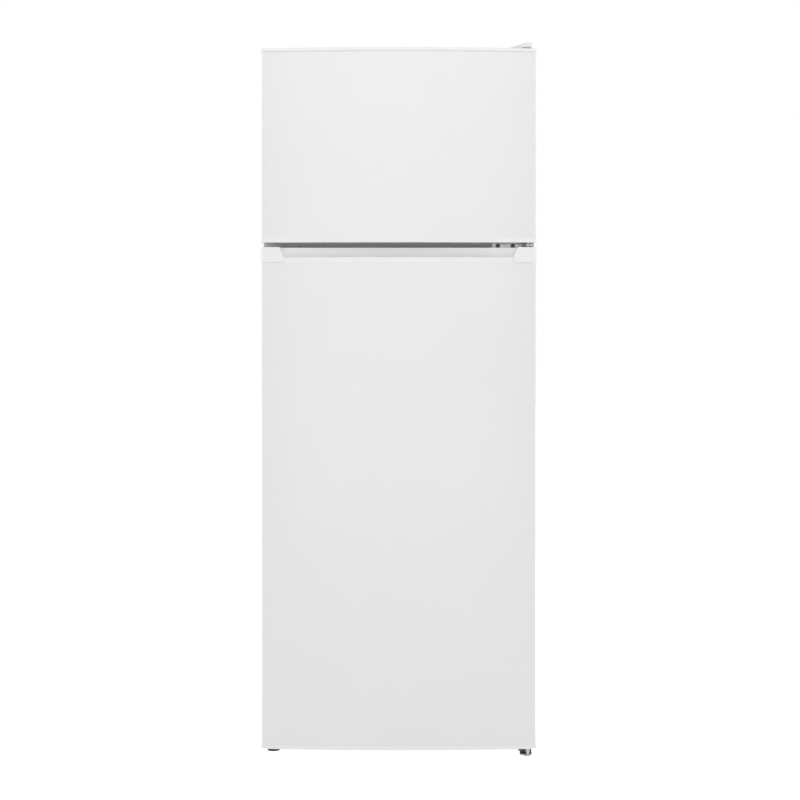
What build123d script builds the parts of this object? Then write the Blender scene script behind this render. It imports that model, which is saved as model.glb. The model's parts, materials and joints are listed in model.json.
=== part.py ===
"""A top freezer refrigerator with two reversible doors and a wire-and-tube condenser on its back.

Millimetres. The doors face -Y, +X is on the right of someone who faces them and +Z is up. The
origin is on the floor, in the middle of the footprint.
"""

from build123d import *
import os

os.makedirs("parts", exist_ok=True)

# ------------------------------------------------------------------ overall
width = 550.0  # across the end caps of the doors
depth = 542.0  # from the crown of the doors to the back of the condenser
height = 1434.0  # from the floor to the top of the hinge cover
cover_rise = 14.6  # top of the hinge cover above the freezer door
freezer_door_height = 387.4
door_gap = 9.0  # between the two doors
floor_gap = 23.0  # under the lower door

# -------------------------------------------------------------------- doors
door_crown = 20.0  # how far the middle of a door stands in front of its edges
door_edge = 37.0  # thickness of a door's edge, up to its liner
skin_inset = 1.4  # the end caps stand this far proud of the painted skin
sheet = 0.8  # painted steel sheet
corner_radius = 6.0
skin_return = 12.0  # width of the skin's turned-in back edge
freezer_top_cap_height = 6.9
freezer_bottom_cap_height = 10.7
fridge_bottom_cap_height = 9.5
handle_cap_height = 31.0
cap_wall = 2.5
cap_spigot = 7.0  # how far a cap reaches into the skin
finger_chamfer = 1.5  # under the front edge of the freezer door
plastic = 2.0  # wall of the vacuum-formed liners
liner_inset = 4.0  # from a door's outline to the edge of its liner
gasket_width = 14.0
gasket_offset = 8.0  # from the edge of a compartment to its gasket
gasket_gap = 10.6  # thickness of the gasket's profile
gasket_clearance = 0.4  # between the resting gasket and the cabinet
dyke_clearance = 6.0  # between a door's raised frame and the compartment wall
dyke_width = 20.0
fridge_dyke_depth = 40.0
freezer_dyke_depth = 30.0

# the finger recess in the top of the lower door
recess_margin_top = 37.0  # from the door's side to the recess, at the top
recess_margin_bottom = 46.0
recess_lip_drop = 20.6  # from the top of the door down to the lip
recess_depth_below_lip = 16.0
recess_lip = 6.0  # thickness of the lip that the fingers pull on
recess_back_wall = 11.0  # from the liner to the back of the recess
wing_step = 1.2  # the lip is set back this far behind the wings

# ------------------------------------------------------------------- hinges
hinge_inset = 17.0  # from the door's side to the hinge axis
hinge_setback = 19.0  # from the front of the door's edge to the hinge axis
pin_radius = 3.0
pin_clearance = 0.05
pin_length = 14.0
pin_boss = 8.0  # radius of the boss round a pin's bore
boss_height = 19.0
hinge_plate = 2.5
pin_side = 9.0  # from the pin's axis to the side of a hinge plate
cover_clearance = 0.5  # between the top hinge plate and its cover
plate_clearance = 1.6  # between a hinge plate and a door
screw_radius = 2.5
screw_head_radius = 4.6
screw_head = 2.2
screw_length = 9.0
middle_hinge_height = 15.0
middle_hinge_reach = 71.0  # from the pin to the far end of the screwed flange
middle_screw_pitch = 30.0
middle_screw_inset = 12.5  # from the end of the flange to the first screw
plug_radius = 3.6
nose_low = 6.0  # floor to the bottom hinge's nose
nose_radius = 5.0
nose_shoulder = 15.0  # from the flange to the straight sides' front end
cover_width = 47.7
cover_slope = 32.6  # width of the cover's sloping side
cover_depth = 132.0
cover_front = 12.0  # from the pin to the front of the cover
cover_end = 8.7  # from the pin to the outer side of the cover
cover_wall = 1.8
foot_setback = 97.0  # from the hinge axis back to the front feet
foot_inset = 19.0  # from the door's side to a front foot

# ------------------------------------------------------------------ cabinet
cabinet_inset = 2.5  # from the door's side to the cabinet's side
cabinet_top_drop = 1.4  # top of the cabinet below the top of the freezer door
skirt_height = 30.0  # floor to the lower edge of the cabinet's sides
side_insulation = 44.5  # side of the cabinet to the compartment
front_flange = 22.5  # width of the steel flange on the cabinet's front
rear_flange = 14.0
top_insulation = 42.0
back_insulation = 50.0
freezer_back_insulation = 70.0
mullion = 61.0  # between the two compartments
freezer_floor_height = 26.0  # freezer compartment's floor above the freezer door's lower edge
pan_height = 52.0  # floor to the insulated bottom of the cabinet
fridge_floor_height = 100.0
rail_sheet = 1.2
rail_lip = 8.0  # width of the liner flanges at the rails
bay_depth = 170.0  # machine bay behind the lower compartment
bay_height = 225.0
bay_insulation = 45.0
condenser_standoff = 26.0  # rear panel to the back of the condenser
ledge = 8.0  # width of the liner ledges that carry the shelves
ledge_height = 6.0
ledge_front_setback = 104.0  # from the cabinet's front to the ledges
shelf_gap = 2.0  # beside a shelf

# ----------------------------------------------------------- fridge fittings
shelf_shares = (0.537, 0.737)  # of the lower door's height, from its lower edge
cover_level = 384.0
glass = 4.0
shelf_front_setback = 106.0
trim_height = 12.0
trim_depth = 14.0
shelf_back_gap = 5.0
drawer_clearance = 4.0  # beside, above and behind the drawer
drawer_wall = 2.5
drawer_lift = 0.5
drawer_front_setback = 101.0
drawer_lip = 10.0
drawer_travel = 200.0
housing_width = 190.0
housing_depth = 120.0
housing_height = 52.0
housing_setback = 51.0
housing_wall = 2.0
knob_radius = 19.0
knob_depth = 12.0
shaft_radius = 3.0
plunger_radius = 4.0
plunger_gap = 0.8  # between the resting plunger and the door
bore_clearance = 0.3
bin_wall = 2.5
fridge_bin_depth = 90.0
fridge_bin_shares = (0.477, 0.717)  # of the lower door's height, from its lower edge
fridge_bin_height = 75.0
bin_gap = 2.0  # between the bottle bin and the raised frame under it
bottle_bin_height = 120.0
freezer_bin_depth = 64.0
freezer_bin_levels = (36.0, 176.0)  # above the freezer compartment's floor
freezer_bin_height = 62.0
freezer_shelf_level = 165.0
freezer_shelf_thickness = 6.0

# ------------------------------------------------------------- feet, rollers
foot_radius = 12.5
foot_height = 19.0
stud_radius = 5.0
stud_top = 48.0
thread_clearance = 0.05
nut_radius = 9.0
nut_height = 8.0
roller_radius = 13.0
roller_width = 14.0
roller_inset = 45.0
roller_setback = 40.0  # in front of the rear panel
axle_radius = 3.0
fork_sheet = 2.0
fork_gap = 1.0

# --------------------------------------------------------------- machine bay
compressor_x = -70.0
compressor_radius = 62.0
compressor_bottom = 56.0
compressor_height = 140.0
weld_flange = 3.0
compressor_foot_x = 76.0
compressor_foot_y = 50.0
grommet_radius = 9.0
base_sheet = 2.0
tube_radius = 4.0
condenser_tube_radius = 2.4
wire_radius = 0.8
weld_depth = 0.3
condenser_margin = 38.0  # from the cabinet's side to the condenser
condenser_bottom = 300.0
condenser_top_drop = 80.0
condenser_pitch = 46.0
wire_pitch = 10.0
gland_radius = 9.0
gland_bore = 3.8
gland_inset = 114.5  # from the cabinet's side to the cord gland
drier_offset = 38.0  # from the cord gland to the filter drier
gland_length = 12.0

# --------------------------------------------------------------- worked out
front_y = -depth / 2 + door_crown  # front of the doors' side edges
liner_y = front_y + door_edge  # foam side of a door's liner
door_back_y = liner_y + plastic
cabinet_y = door_back_y + gasket_gap + gasket_clearance  # front of the cabinet
back_y = depth / 2 - condenser_standoff
pin_x = width / 2 - hinge_inset
pin_y = front_y + hinge_setback

freezer_door_top = height - cover_rise
freezer_door_bottom = freezer_door_top - freezer_door_height
fridge_door_top = freezer_door_bottom - door_gap
fridge_door_bottom = floor_gap
fridge_door_height = fridge_door_top - fridge_door_bottom
shelf_levels = [fridge_door_bottom + share * fridge_door_height for share in shelf_shares]
fridge_bin_levels = [fridge_door_bottom + share * fridge_door_height for share in fridge_bin_shares]
cabinet_top = freezer_door_top - cabinet_top_drop

half = width / 2 - cabinet_inset
bay_y = back_y - bay_depth
cavity_x = half - side_insulation
freezer_low = freezer_door_bottom + freezer_floor_height
freezer_high = cabinet_top - top_insulation
freezer_back = back_y - freezer_back_insulation
fridge_low = fridge_floor_height
fridge_high = freezer_low - mullion
fridge_back = back_y - back_insulation
step_y = bay_y - bay_insulation
step_z = bay_height + bay_insulation


# ------------------------------------------------------------------ helpers
def block(low, high, mode=Mode.ADD):
    """A box between two opposite corners."""
    middle = tuple((a + b) / 2 for a, b in zip(low, high))
    with Locations(middle):
        Box(*(b - a for a, b in zip(low, high)), mode=mode)


def rod(radius, start, length, along=Axis.Z, mode=Mode.ADD):
    """A round bar from a point, along an axis."""
    plane = Plane(origin=start, z_dir=along.direction)
    with BuildSketch(plane) as section:
        Circle(radius)
    extrude(section.sketch, amount=length, mode=mode)


def prism_x(points, low, high, mode=Mode.ADD):
    """A profile given in Y and Z, drawn out along X."""
    with BuildSketch(Plane.YZ.offset(low)) as profile:
        with BuildLine():
            Polyline(*points, close=True)
        make_face()
    extrude(profile.sketch, amount=high - low, mode=mode)


def prism_y(points, low, high, mode=Mode.ADD):
    """A profile given in X and Z, drawn out along Y."""
    with BuildSketch(Plane.XZ.offset(-high)) as profile:
        with BuildLine():
            Polyline(*points, close=True)
        make_face()
    extrude(profile.sketch, amount=high - low, mode=mode)


def door_plan(inset, back):
    """The outline of a door seen from above: bowed in front, square behind."""
    side = width / 2 - inset
    edge = front_y + inset
    with BuildSketch() as plan:
        with BuildLine():
            Polyline((-side, edge), (-side, back), (side, back), (side, edge))
            ThreePointArc((side, edge), (0, edge - door_crown), (-side, edge))
        make_face()
        if inset < corner_radius:
            fillet(plan.vertices().group_by(Axis.Y)[0], corner_radius - inset)
    return plan.sketch


def upright(plan, low, high, mode=Mode.ADD):
    """A plan outline raised from one height to another."""
    extrude(plan.moved(Location((0, 0, low))), amount=high - low, mode=mode)


def ring(low, high, bar, mode=Mode.ADD):
    """A rectangular frame that faces the doors: two opposite outer corners and its bar's width."""
    block(low, high, mode)
    inner_low = (low[0] + bar, low[1], low[2] + bar)
    inner_high = (high[0] - bar, high[1], high[2] - bar)
    block(inner_low, inner_high, Mode.SUBTRACT if mode == Mode.ADD else Mode.ADD)


def tube(points, bend, radius):
    """A round tube along straight runs that are joined by arcs."""
    with BuildLine() as route:
        FilletPolyline(*points, radius=bend)
    start = Plane(origin=route.line @ 0, z_dir=route.line % 0)
    with BuildSketch(start) as section:
        Circle(radius)
    sweep(section.sketch, path=route.line)


def save(piece, name):
    piece.part.label = name
    export_step(piece.part, f"parts/{name}.step")


# -------------------------------------------------------------------- doors
def door_skin(low, high):
    """Painted sheet bent round the front and sides of a door, with its back edges turned in."""
    inner = skin_inset + sheet
    with BuildPart() as skin:
        upright(door_plan(skin_inset, liner_y), low, high)
        upright(door_plan(inner, liner_y - sheet), low, high, Mode.SUBTRACT)
        side = width / 2 - skin_inset - skin_return
        block((-side, liner_y - sheet, low), (side, liner_y, high), Mode.SUBTRACT)
    return skin


def end_cap(low, high, spigot, inwards):
    """A moulded tray that closes an end of a door. inwards is +1 where the door is above it."""
    inner = skin_inset + sheet
    outer_z = low if inwards > 0 else high
    floor_z = outer_z + inwards * cap_wall
    reach = (high if inwards > 0 else low) + inwards * spigot
    with BuildPart() as cap:
        upright(door_plan(0, liner_y), low, high)
        upright(door_plan(inner, liner_y - sheet), *sorted((outer_z, reach)))
        hollow = door_plan(inner + cap_wall, liner_y - sheet - cap_wall)
        upright(hollow, *sorted((floor_z, reach)), Mode.SUBTRACT)
        rod(pin_boss, (pin_x, pin_y, min(outer_z, outer_z + inwards * boss_height)), boss_height)
        bore_low = min(outer_z, outer_z + inwards * (boss_height - cap_wall))
        bore = pin_radius + pin_clearance
        rod(bore, (pin_x, pin_y, bore_low), boss_height - cap_wall, mode=Mode.SUBTRACT)
    return cap


def door_liner(low, high, dyke_low, dyke_high, dyke_depth):
    """The formed sheet on the inside of a door, with a hollow raised frame that holds the bins."""
    side = width / 2 - liner_inset
    dyke_x = cavity_x - dyke_clearance
    top = door_back_y + dyke_depth
    with BuildPart() as liner:
        ring((-dyke_x, liner_y, dyke_low), (dyke_x, top, dyke_high), dyke_width)
        fillet(liner.edges().group_by(Axis.Y)[-1], plastic)
        inner_low = (-dyke_x + plastic, liner_y, dyke_low + plastic)
        inner_high = (dyke_x - plastic, top - plastic, dyke_high - plastic)
        with BuildPart(mode=Mode.PRIVATE) as core:
            ring(inner_low, inner_high, dyke_width - 2 * plastic)
        add(core.part, mode=Mode.SUBTRACT)
        with BuildPart(mode=Mode.PRIVATE) as sheet_part:
            block((-side, liner_y, low), (side, door_back_y, high))
            add(core.part, mode=Mode.SUBTRACT)
        add(sheet_part.part)
    return liner, core


def door_foam(low, high, core, pieces):
    """The insulation that fills a door between its skin, caps and liner."""
    with BuildPart() as foam:
        upright(door_plan(skin_inset + sheet, liner_y), low + cap_wall, high - cap_wall)
        add(core.part)
        for piece in pieces:
            add(piece.part, mode=Mode.SUBTRACT)
        for boss_low in (low, high - boss_height):
            rod(pin_boss, (pin_x, pin_y, boss_low), boss_height, mode=Mode.SUBTRACT)
    return foam


def gasket(cavity_low, cavity_high):
    """The magnetic seal round a compartment's mouth, on the door."""
    outer = gasket_offset + gasket_width
    side = cavity_x + outer
    with BuildPart() as seal:
        low = (-side, door_back_y, cavity_low - outer)
        ring(low, (side, door_back_y + gasket_gap, cavity_high + outer), gasket_width)
        fillet(seal.edges().group_by(Axis.Y)[-1], gasket_gap / 3)
    return seal


def door_bin(level, bin_depth, bin_height):
    """An open tray hung between the sides of a door's raised frame."""
    side = cavity_x - dyke_clearance - dyke_width
    low = (-side, door_back_y, level)
    high = (side, door_back_y + bin_depth, level + bin_height)
    block(low, high)
    inner_low = tuple(v + bin_wall for v in low)
    block(inner_low, (side - bin_wall, high[1] - bin_wall, high[2]), Mode.SUBTRACT)


freezer_skin_low = freezer_door_bottom + freezer_bottom_cap_height
freezer_skin_high = freezer_door_top - freezer_top_cap_height
fridge_skin_low = fridge_door_bottom + fridge_bottom_cap_height
fridge_skin_high = fridge_door_top - handle_cap_height

freezer_door_skin = door_skin(freezer_skin_low, freezer_skin_high)
freezer_door_top_cap = end_cap(freezer_skin_high, freezer_door_top, cap_spigot, -1)

with BuildPart() as freezer_door_bottom_cap:
    add(end_cap(freezer_door_bottom, freezer_skin_low, cap_spigot, 1).part)
    lower_edges = freezer_door_bottom_cap.edges().group_by(Axis.Z)[0]
    chamfer(lower_edges.sort_by(Axis.Y)[:3], finger_chamfer)

fridge_door_skin = door_skin(fridge_skin_low, fridge_skin_high)
fridge_door_bottom_cap = end_cap(fridge_door_bottom, fridge_skin_low, cap_spigot, 1)

save(freezer_door_skin, "freezer_door_skin")
save(fridge_door_skin, "fridge_door_skin")
save(freezer_door_top_cap, "freezer_door_top_cap")
save(freezer_door_bottom_cap, "freezer_door_bottom_cap")
save(fridge_door_bottom_cap, "fridge_door_bottom_cap")

# ---------------------------------------------- the lower door's handle cap
recess_back = liner_y - recess_back_wall
lip_z = fridge_door_top - recess_lip_drop
recess_floor = lip_z - recess_depth_below_lip
recess_top_x = width / 2 - recess_margin_top
recess_low_x = width / 2 - recess_margin_bottom
recess_front = front_y - door_crown  # the crown of the front
with BuildPart() as handle_cap:
    add(end_cap(fridge_skin_high, fridge_door_top, cap_spigot, -1).part)
    tub_x = recess_top_x + cap_wall
    tub = door_plan(skin_inset + sheet, recess_back + cap_wall)
    with BuildPart(mode=Mode.PRIVATE) as tub_block:
        upright(tub, recess_floor - cap_wall, fridge_door_top)
        for sign in (-1, 1):
            ends = sorted((sign * tub_x, sign * width))
            block((ends[0], -depth, 0), (ends[1], depth, height), Mode.SUBTRACT)
    add(tub_block.part)
    # the recess behind the lip
    with BuildPart(mode=Mode.PRIVATE) as recess:
        upright(door_plan(recess_lip, recess_back), recess_floor, fridge_door_top)
        for sign in (-1, 1):
            ends = sorted((sign * recess_low_x, sign * width))
            block((ends[0], -depth, 0), (ends[1], depth, height), Mode.SUBTRACT)
    add(recess.part, mode=Mode.SUBTRACT)
    # the mouth above the lip, with its sloping ends
    mouth = ((-recess_low_x, lip_z), (recess_low_x, lip_z),
             (recess_top_x, fridge_door_top), (-recess_top_x, fridge_door_top))
    prism_y(mouth, recess_front, recess_back, Mode.SUBTRACT)
    # the lip is set back a little behind the wings
    with BuildPart(mode=Mode.PRIVATE) as setback:
        upright(door_plan(0, recess_back), fridge_skin_high, lip_z)
        upright(door_plan(wing_step, recess_back), fridge_skin_high, lip_z, Mode.SUBTRACT)
        for sign in (-1, 1):
            ends = sorted((sign * recess_low_x, sign * width))
            block((ends[0], -depth, 0), (ends[1], depth, height), Mode.SUBTRACT)
    add(setback.part, mode=Mode.SUBTRACT)
save(handle_cap, "handle_cap")

# ------------------------------------------- liners, foam, gaskets and bins
freezer_liner_low = freezer_door_bottom + liner_inset
freezer_liner_high = freezer_door_top - liner_inset
fridge_liner_low = fridge_door_bottom + liner_inset
fridge_liner_high = fridge_door_top - liner_inset

freezer_door_liner, freezer_core = door_liner(
    freezer_liner_low, freezer_liner_high,
    freezer_low + dyke_clearance, freezer_high - dyke_clearance, freezer_dyke_depth)
fridge_door_liner, fridge_core = door_liner(
    fridge_liner_low, fridge_liner_high,
    fridge_low + dyke_clearance, fridge_high - dyke_clearance, fridge_dyke_depth)
freezer_door_foam = door_foam(
    freezer_door_bottom, freezer_door_top, freezer_core,
    (freezer_door_skin, freezer_door_top_cap, freezer_door_bottom_cap, freezer_door_liner))
uncut_fridge_foam = door_foam(
    fridge_door_bottom, fridge_door_top, fridge_core,
    (fridge_door_skin, handle_cap, fridge_door_bottom_cap, fridge_door_liner))
with BuildPart() as fridge_door_foam:
    add(uncut_fridge_foam.part)
    add(recess.part, mode=Mode.SUBTRACT)
    prism_y(mouth, recess_front, recess_back, Mode.SUBTRACT)
save(freezer_door_liner, "freezer_door_liner")
save(fridge_door_liner, "fridge_door_liner")
save(freezer_door_foam, "freezer_door_foam")
save(fridge_door_foam, "fridge_door_foam")
save(gasket(freezer_low, freezer_high), "freezer_door_gasket")
save(gasket(fridge_low, fridge_high), "fridge_door_gasket")

with BuildPart() as freezer_door_bins:
    for level in freezer_bin_levels:
        door_bin(freezer_low + level, freezer_bin_depth, freezer_bin_height)
with BuildPart() as fridge_door_bins:
    for level in fridge_bin_levels:
        door_bin(level, fridge_bin_depth, fridge_bin_height)
with BuildPart() as fridge_bottle_bin:
    bottle_bin_level = fridge_low + dyke_clearance + dyke_width + bin_gap
    door_bin(bottle_bin_level, fridge_bin_depth, bottle_bin_height)
save(freezer_door_bins, "freezer_door_bins")
save(fridge_door_bins, "fridge_door_bins")
save(fridge_bottle_bin, "fridge_bottle_bin")

# ------------------------------------------------------------ cabinet panels
rear_y = back_y - sheet  # inside of the rear panel
panel_top = cabinet_top - sheet


def side_panel(sign):
    """A steel side with a flange turned in at the front and at the back."""
    def across(depth_in):
        return sorted((sign * half, sign * (half - depth_in)))

    with BuildPart() as panel:
        x0, x1 = across(sheet)
        block((x0, cabinet_y, skirt_height), (x1, rear_y, panel_top))
        x0, x1 = across(front_flange)
        block((x0, cabinet_y, skirt_height), (x1, cabinet_y + sheet, panel_top))
        x0, x1 = across(rear_flange)
        block((x0, rear_y - sheet, bay_height), (x1, rear_y, panel_top))
    return panel


save(side_panel(-1), "left_side_panel")
save(side_panel(1), "right_side_panel")

inner_half = half - sheet
flange_x = half - front_flange
with BuildPart() as top_panel:
    block((-half, cabinet_y, panel_top), (half, rear_y, cabinet_top))
    block((-flange_x, cabinet_y, cabinet_top - front_flange), (flange_x, cabinet_y + sheet, panel_top))
    for sign in (-1, 1):
        for screw in range(2):
            pitch = screw * middle_screw_pitch
            x = sign * (pin_x - middle_screw_inset)
            hole = (x, cabinet_y + middle_screw_pitch + pitch, panel_top - screw_length)
            rod(screw_radius, hole, 2 * screw_length, mode=Mode.SUBTRACT)
save(top_panel, "top_panel")

with BuildPart() as rear_panel:
    block((-half, rear_y, bay_height), (half, back_y, cabinet_top))
save(rear_panel, "rear_panel")

pan_front = cabinet_y + rail_sheet
with BuildPart() as base_pan:
    block((-inner_half, pan_front, pan_height), (inner_half, bay_y, pan_height + sheet))
    block((-inner_half, bay_y - sheet, pan_height), (inner_half, bay_y, bay_height + sheet))
    block((-inner_half, bay_y - sheet, bay_height), (inner_half, rear_y - sheet, bay_height + sheet))
save(base_pan, "base_pan")

rail_low = fridge_high + rail_lip
rail_high = freezer_low - rail_lip
with BuildPart() as centre_rail:
    block((-flange_x, cabinet_y, rail_low), (flange_x, cabinet_y + rail_sheet, rail_high))
    for low in (rail_low, rail_high - rail_sheet):
        block((-flange_x, cabinet_y, low), (flange_x, cabinet_y + rail_lip, low + rail_sheet))
    for sign in (-1, 1):
        for screw in range(2):
            x = sign * (pin_x - middle_hinge_reach + middle_screw_inset + screw * middle_screw_pitch)
            hole = (x, cabinet_y - rail_lip, freezer_door_bottom - door_gap / 2)
            rod(screw_radius, hole, 2 * rail_lip, Axis.Y, Mode.SUBTRACT)
save(centre_rail, "centre_rail")

foot_x = width / 2 - foot_inset
foot_y = pin_y + foot_setback
base_front = fridge_low - rail_lip
rail_back = foot_y + foot_radius
bore_radius = stud_radius + thread_clearance
with BuildPart() as front_base_rail:
    block((-flange_x, cabinet_y, skirt_height), (flange_x, cabinet_y + rail_sheet, base_front))
    block((-inner_half, cabinet_y + rail_sheet, skirt_height),
          (inner_half, rail_back, skirt_height + rail_sheet))
    for sign in (-1, 1):
        rod(nut_radius, (sign * foot_x, foot_y, skirt_height), nut_height)
        rod(bore_radius, (sign * foot_x, foot_y, 0), pan_height, mode=Mode.SUBTRACT)
save(front_base_rail, "front_base_rail")

roller_x = half - roller_inset
roller_y = back_y - roller_setback
with BuildPart() as compressor_base:
    block((-inner_half, bay_y, skirt_height), (inner_half, rear_y, skirt_height + base_sheet))
    block((-inner_half, bay_y, skirt_height), (inner_half, bay_y + base_sheet, pan_height))
    for sign in (-1, 1):
        slot = roller_width / 2 + fork_gap + fork_sheet
        low = (sign * roller_x - slot, roller_y - roller_radius - fork_gap, 0)
        block(low, (sign * roller_x + slot, roller_y + roller_radius + fork_gap, pan_height),
              Mode.SUBTRACT)
save(compressor_base, "compressor_base")


# ------------------------------------------------------------------- liners
def ledges(levels, front, back):
    for level in levels:
        for sign in (-1, 1):
            x0, x1 = sorted((sign * cavity_x, sign * (cavity_x - ledge)))
            block((x0, front, level - ledge_height), (x1, back, level))


ledge_front = cabinet_y + ledge_front_setback
with BuildPart() as freezer_void:
    block((-cavity_x, cabinet_y, freezer_low), (cavity_x, freezer_back, freezer_high))
with BuildPart() as freezer_outer:
    low = (-cavity_x - plastic, cabinet_y, freezer_low - plastic)
    block(low, (cavity_x + plastic, freezer_back + plastic, freezer_high + plastic))
with BuildPart() as freezer_liner:
    add(freezer_outer.part)
    block((-flange_x, cabinet_y, rail_high), (flange_x, cabinet_y + plastic, cabinet_top - front_flange))
    add(freezer_void.part, mode=Mode.SUBTRACT)
    ledges((freezer_low + freezer_shelf_level,), ledge_front, freezer_back)
save(freezer_liner, "freezer_liner")

void_side = ((cabinet_y, fridge_low), (step_y, fridge_low), (step_y, step_z),
             (fridge_back, step_z), (fridge_back, fridge_high), (cabinet_y, fridge_high))
outer_side = ((cabinet_y, fridge_low - plastic), (step_y + plastic, fridge_low - plastic),
              (step_y + plastic, step_z - plastic), (fridge_back + plastic, step_z - plastic),
              (fridge_back + plastic, fridge_high + plastic), (cabinet_y, fridge_high + plastic))
with BuildPart() as fridge_void:
    prism_x(void_side, -cavity_x, cavity_x)
with BuildPart() as fridge_outer:
    prism_x(outer_side, -cavity_x - plastic, cavity_x + plastic)
with BuildPart() as fridge_liner:
    add(fridge_outer.part)
    block((-flange_x, cabinet_y, base_front), (flange_x, cabinet_y + plastic, rail_low))
    add(fridge_void.part, mode=Mode.SUBTRACT)
    ledges((*shelf_levels, cover_level), ledge_front, fridge_back)
save(fridge_liner, "fridge_liner")


# ------------------------------------------------------------- evaporators
def serpentine(centre_y, low, high, side, rows, radius):
    """One tube in level rows with a return bend at the end of each row."""
    pitch = (high - low) / (rows - 1)
    points = []
    for row in range(rows):
        ends = (-side, side) if row % 2 == 0 else (side, -side)
        points += [(x, centre_y, low + row * pitch) for x in ends]
    return tube(points, pitch * 0.45, radius)


evaporator_gap = plastic + tube_radius
with BuildPart() as freezer_evaporator:
    y = freezer_back + evaporator_gap
    serpentine(y, freezer_low + ledge_front_setback / 2, freezer_high - top_insulation / 2,
               cavity_x - tube_radius * 5, 6, tube_radius)
with BuildPart() as fridge_evaporator:
    y = fridge_back + evaporator_gap
    serpentine(y, shelf_levels[0] + ledge_front_setback / 2, fridge_high - top_insulation / 2,
               cavity_x - tube_radius * 5, 7, tube_radius)
save(freezer_evaporator, "freezer_evaporator")
save(fridge_evaporator, "fridge_evaporator")

# ------------------------------------------------------------- machine bay
compressor_y = (bay_y + back_y) / 2
with BuildPart() as compressor:
    rod(compressor_radius, (compressor_x, compressor_y, compressor_bottom), compressor_height)
    fillet(compressor.edges().filter_by(GeomType.CIRCLE), compressor_radius * 0.35)
    seam = (compressor_x, compressor_y, compressor_bottom + compressor_height / 2)
    rod(compressor_radius + weld_flange, seam, weld_flange)
    with BuildSketch(Plane.XY.offset(compressor_bottom - weld_flange)) as feet:
        with Locations((compressor_x, compressor_y)):
            RectangleRounded(2 * compressor_foot_x + 4 * grommet_radius,
                             2 * compressor_foot_y + 2.2 * grommet_radius, grommet_radius)
            with GridLocations(2 * compressor_foot_x, 2 * compressor_foot_y, 2, 2):
                Circle(grommet_radius * 0.6, mode=Mode.SUBTRACT)
    extrude(feet.sketch, amount=2 * weld_flange)
    rod(tube_radius, (compressor_x + compressor_radius / 2, compressor_y, seam[2] + 2 * ledge_height),
        compressor_radius, Axis.X)
save(compressor, "compressor")

foot_plate_low = compressor_bottom - weld_flange
base_top = skirt_height + base_sheet
with BuildPart() as compressor_grommets:
    with Locations((compressor_x, compressor_y, 0)):
        with GridLocations(2 * compressor_foot_x, 2 * compressor_foot_y, 2, 2):
            with Locations((0, 0, (base_top + foot_plate_low) / 2)):
                Cylinder(grommet_radius, foot_plate_low - base_top)
save(compressor_grommets, "compressor_grommets")

terminal_y = compressor_y - compressor_radius / 3
terminal_size = compressor_radius * 0.9
with BuildPart() as terminal_cover:
    x1 = compressor_x - compressor_radius - weld_flange - 1
    low = (x1 - terminal_size * 0.6, terminal_y - terminal_size / 2, seam[2] - terminal_size / 2)
    high = (x1, terminal_y + terminal_size / 2, seam[2] + terminal_size / 2)
    block(low, high)
    fillet(terminal_cover.edges().group_by(Axis.X)[0], cap_wall)
    block((low[0] + cap_wall, low[1] + cap_wall, low[2] + cap_wall),
          (high[0], high[1] - cap_wall, high[2] - cap_wall), Mode.SUBTRACT)
    block((high[0] - cap_wall, low[1], low[2]), (x1 + 2 * weld_flange, high[1], low[2] + cap_wall))
save(terminal_cover, "terminal_cover")

gland_x = half - gland_inset
with BuildPart() as cord_gland:
    z = skirt_height + base_sheet
    block((gland_x - gland_radius, rear_y - gland_length, z),
          (gland_x + gland_radius, rear_y, z + 2 * gland_radius))
    fillet(cord_gland.edges().filter_by(Axis.Y).group_by(Axis.Z)[-1], gland_radius * 0.8)
    rod(gland_bore, (gland_x, rear_y - 2 * gland_length, z + gland_radius), 3 * gland_length,
        Axis.Y, Mode.SUBTRACT)
save(cord_gland, "cord_gland")

tray_z = compressor_bottom + compressor_height + 1
with BuildPart() as drip_tray:
    reach = compressor_radius * 1.05
    block((compressor_x - reach, compressor_y - reach, tray_z),
          (compressor_x + reach, compressor_y + reach, bay_height - 5))
    fillet(drip_tray.edges().filter_by(Axis.Z), pin_boss)
    block((compressor_x - reach + cap_wall, compressor_y - reach + cap_wall, tray_z + cap_wall),
          (compressor_x + reach - cap_wall, compressor_y + reach - cap_wall, bay_height),
          Mode.SUBTRACT)
save(drip_tray, "drip_tray")

drier_x = gland_x - drier_offset
drier_radius = gland_radius
drier_low = base_top + 2 * gland_length
with BuildPart() as filter_drier:
    rod(drier_radius, (drier_x, compressor_y, drier_low), bay_height / 2)
    fillet(filter_drier.edges().filter_by(GeomType.CIRCLE), drier_radius * 0.7)
    for z in (base_top, drier_low + bay_height / 2 - 1):
        top = drier_low + 1 if z == base_top else bay_height
        rod(tube_radius / 2, (drier_x, compressor_y, z), top - z)
save(filter_drier, "filter_drier")

stub_end = compressor_x + 1.5 * compressor_radius
with BuildPart() as suction_line:
    z = seam[2] + 2 * ledge_height
    tube([(stub_end, compressor_y, z), (stub_end + compressor_foot_x, compressor_y, z),
          (stub_end + compressor_foot_x, compressor_y, bay_height)], 5 * tube_radius, tube_radius)
save(suction_line, "suction_line")

# --------------------------------------------------------------- condenser
tube_y = back_y + condenser_standoff - 2 * wire_radius + weld_depth - condenser_tube_radius
condenser_x = half - condenser_margin
condenser_top = cabinet_top - condenser_top_drop
row_count = round((condenser_top - condenser_bottom) / condenser_pitch) + 1
with BuildPart() as condenser_tube:
    serpentine(tube_y, condenser_bottom, condenser_top, condenser_x, row_count,
               condenser_tube_radius)
save(condenser_tube, "condenser_tube")

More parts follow.
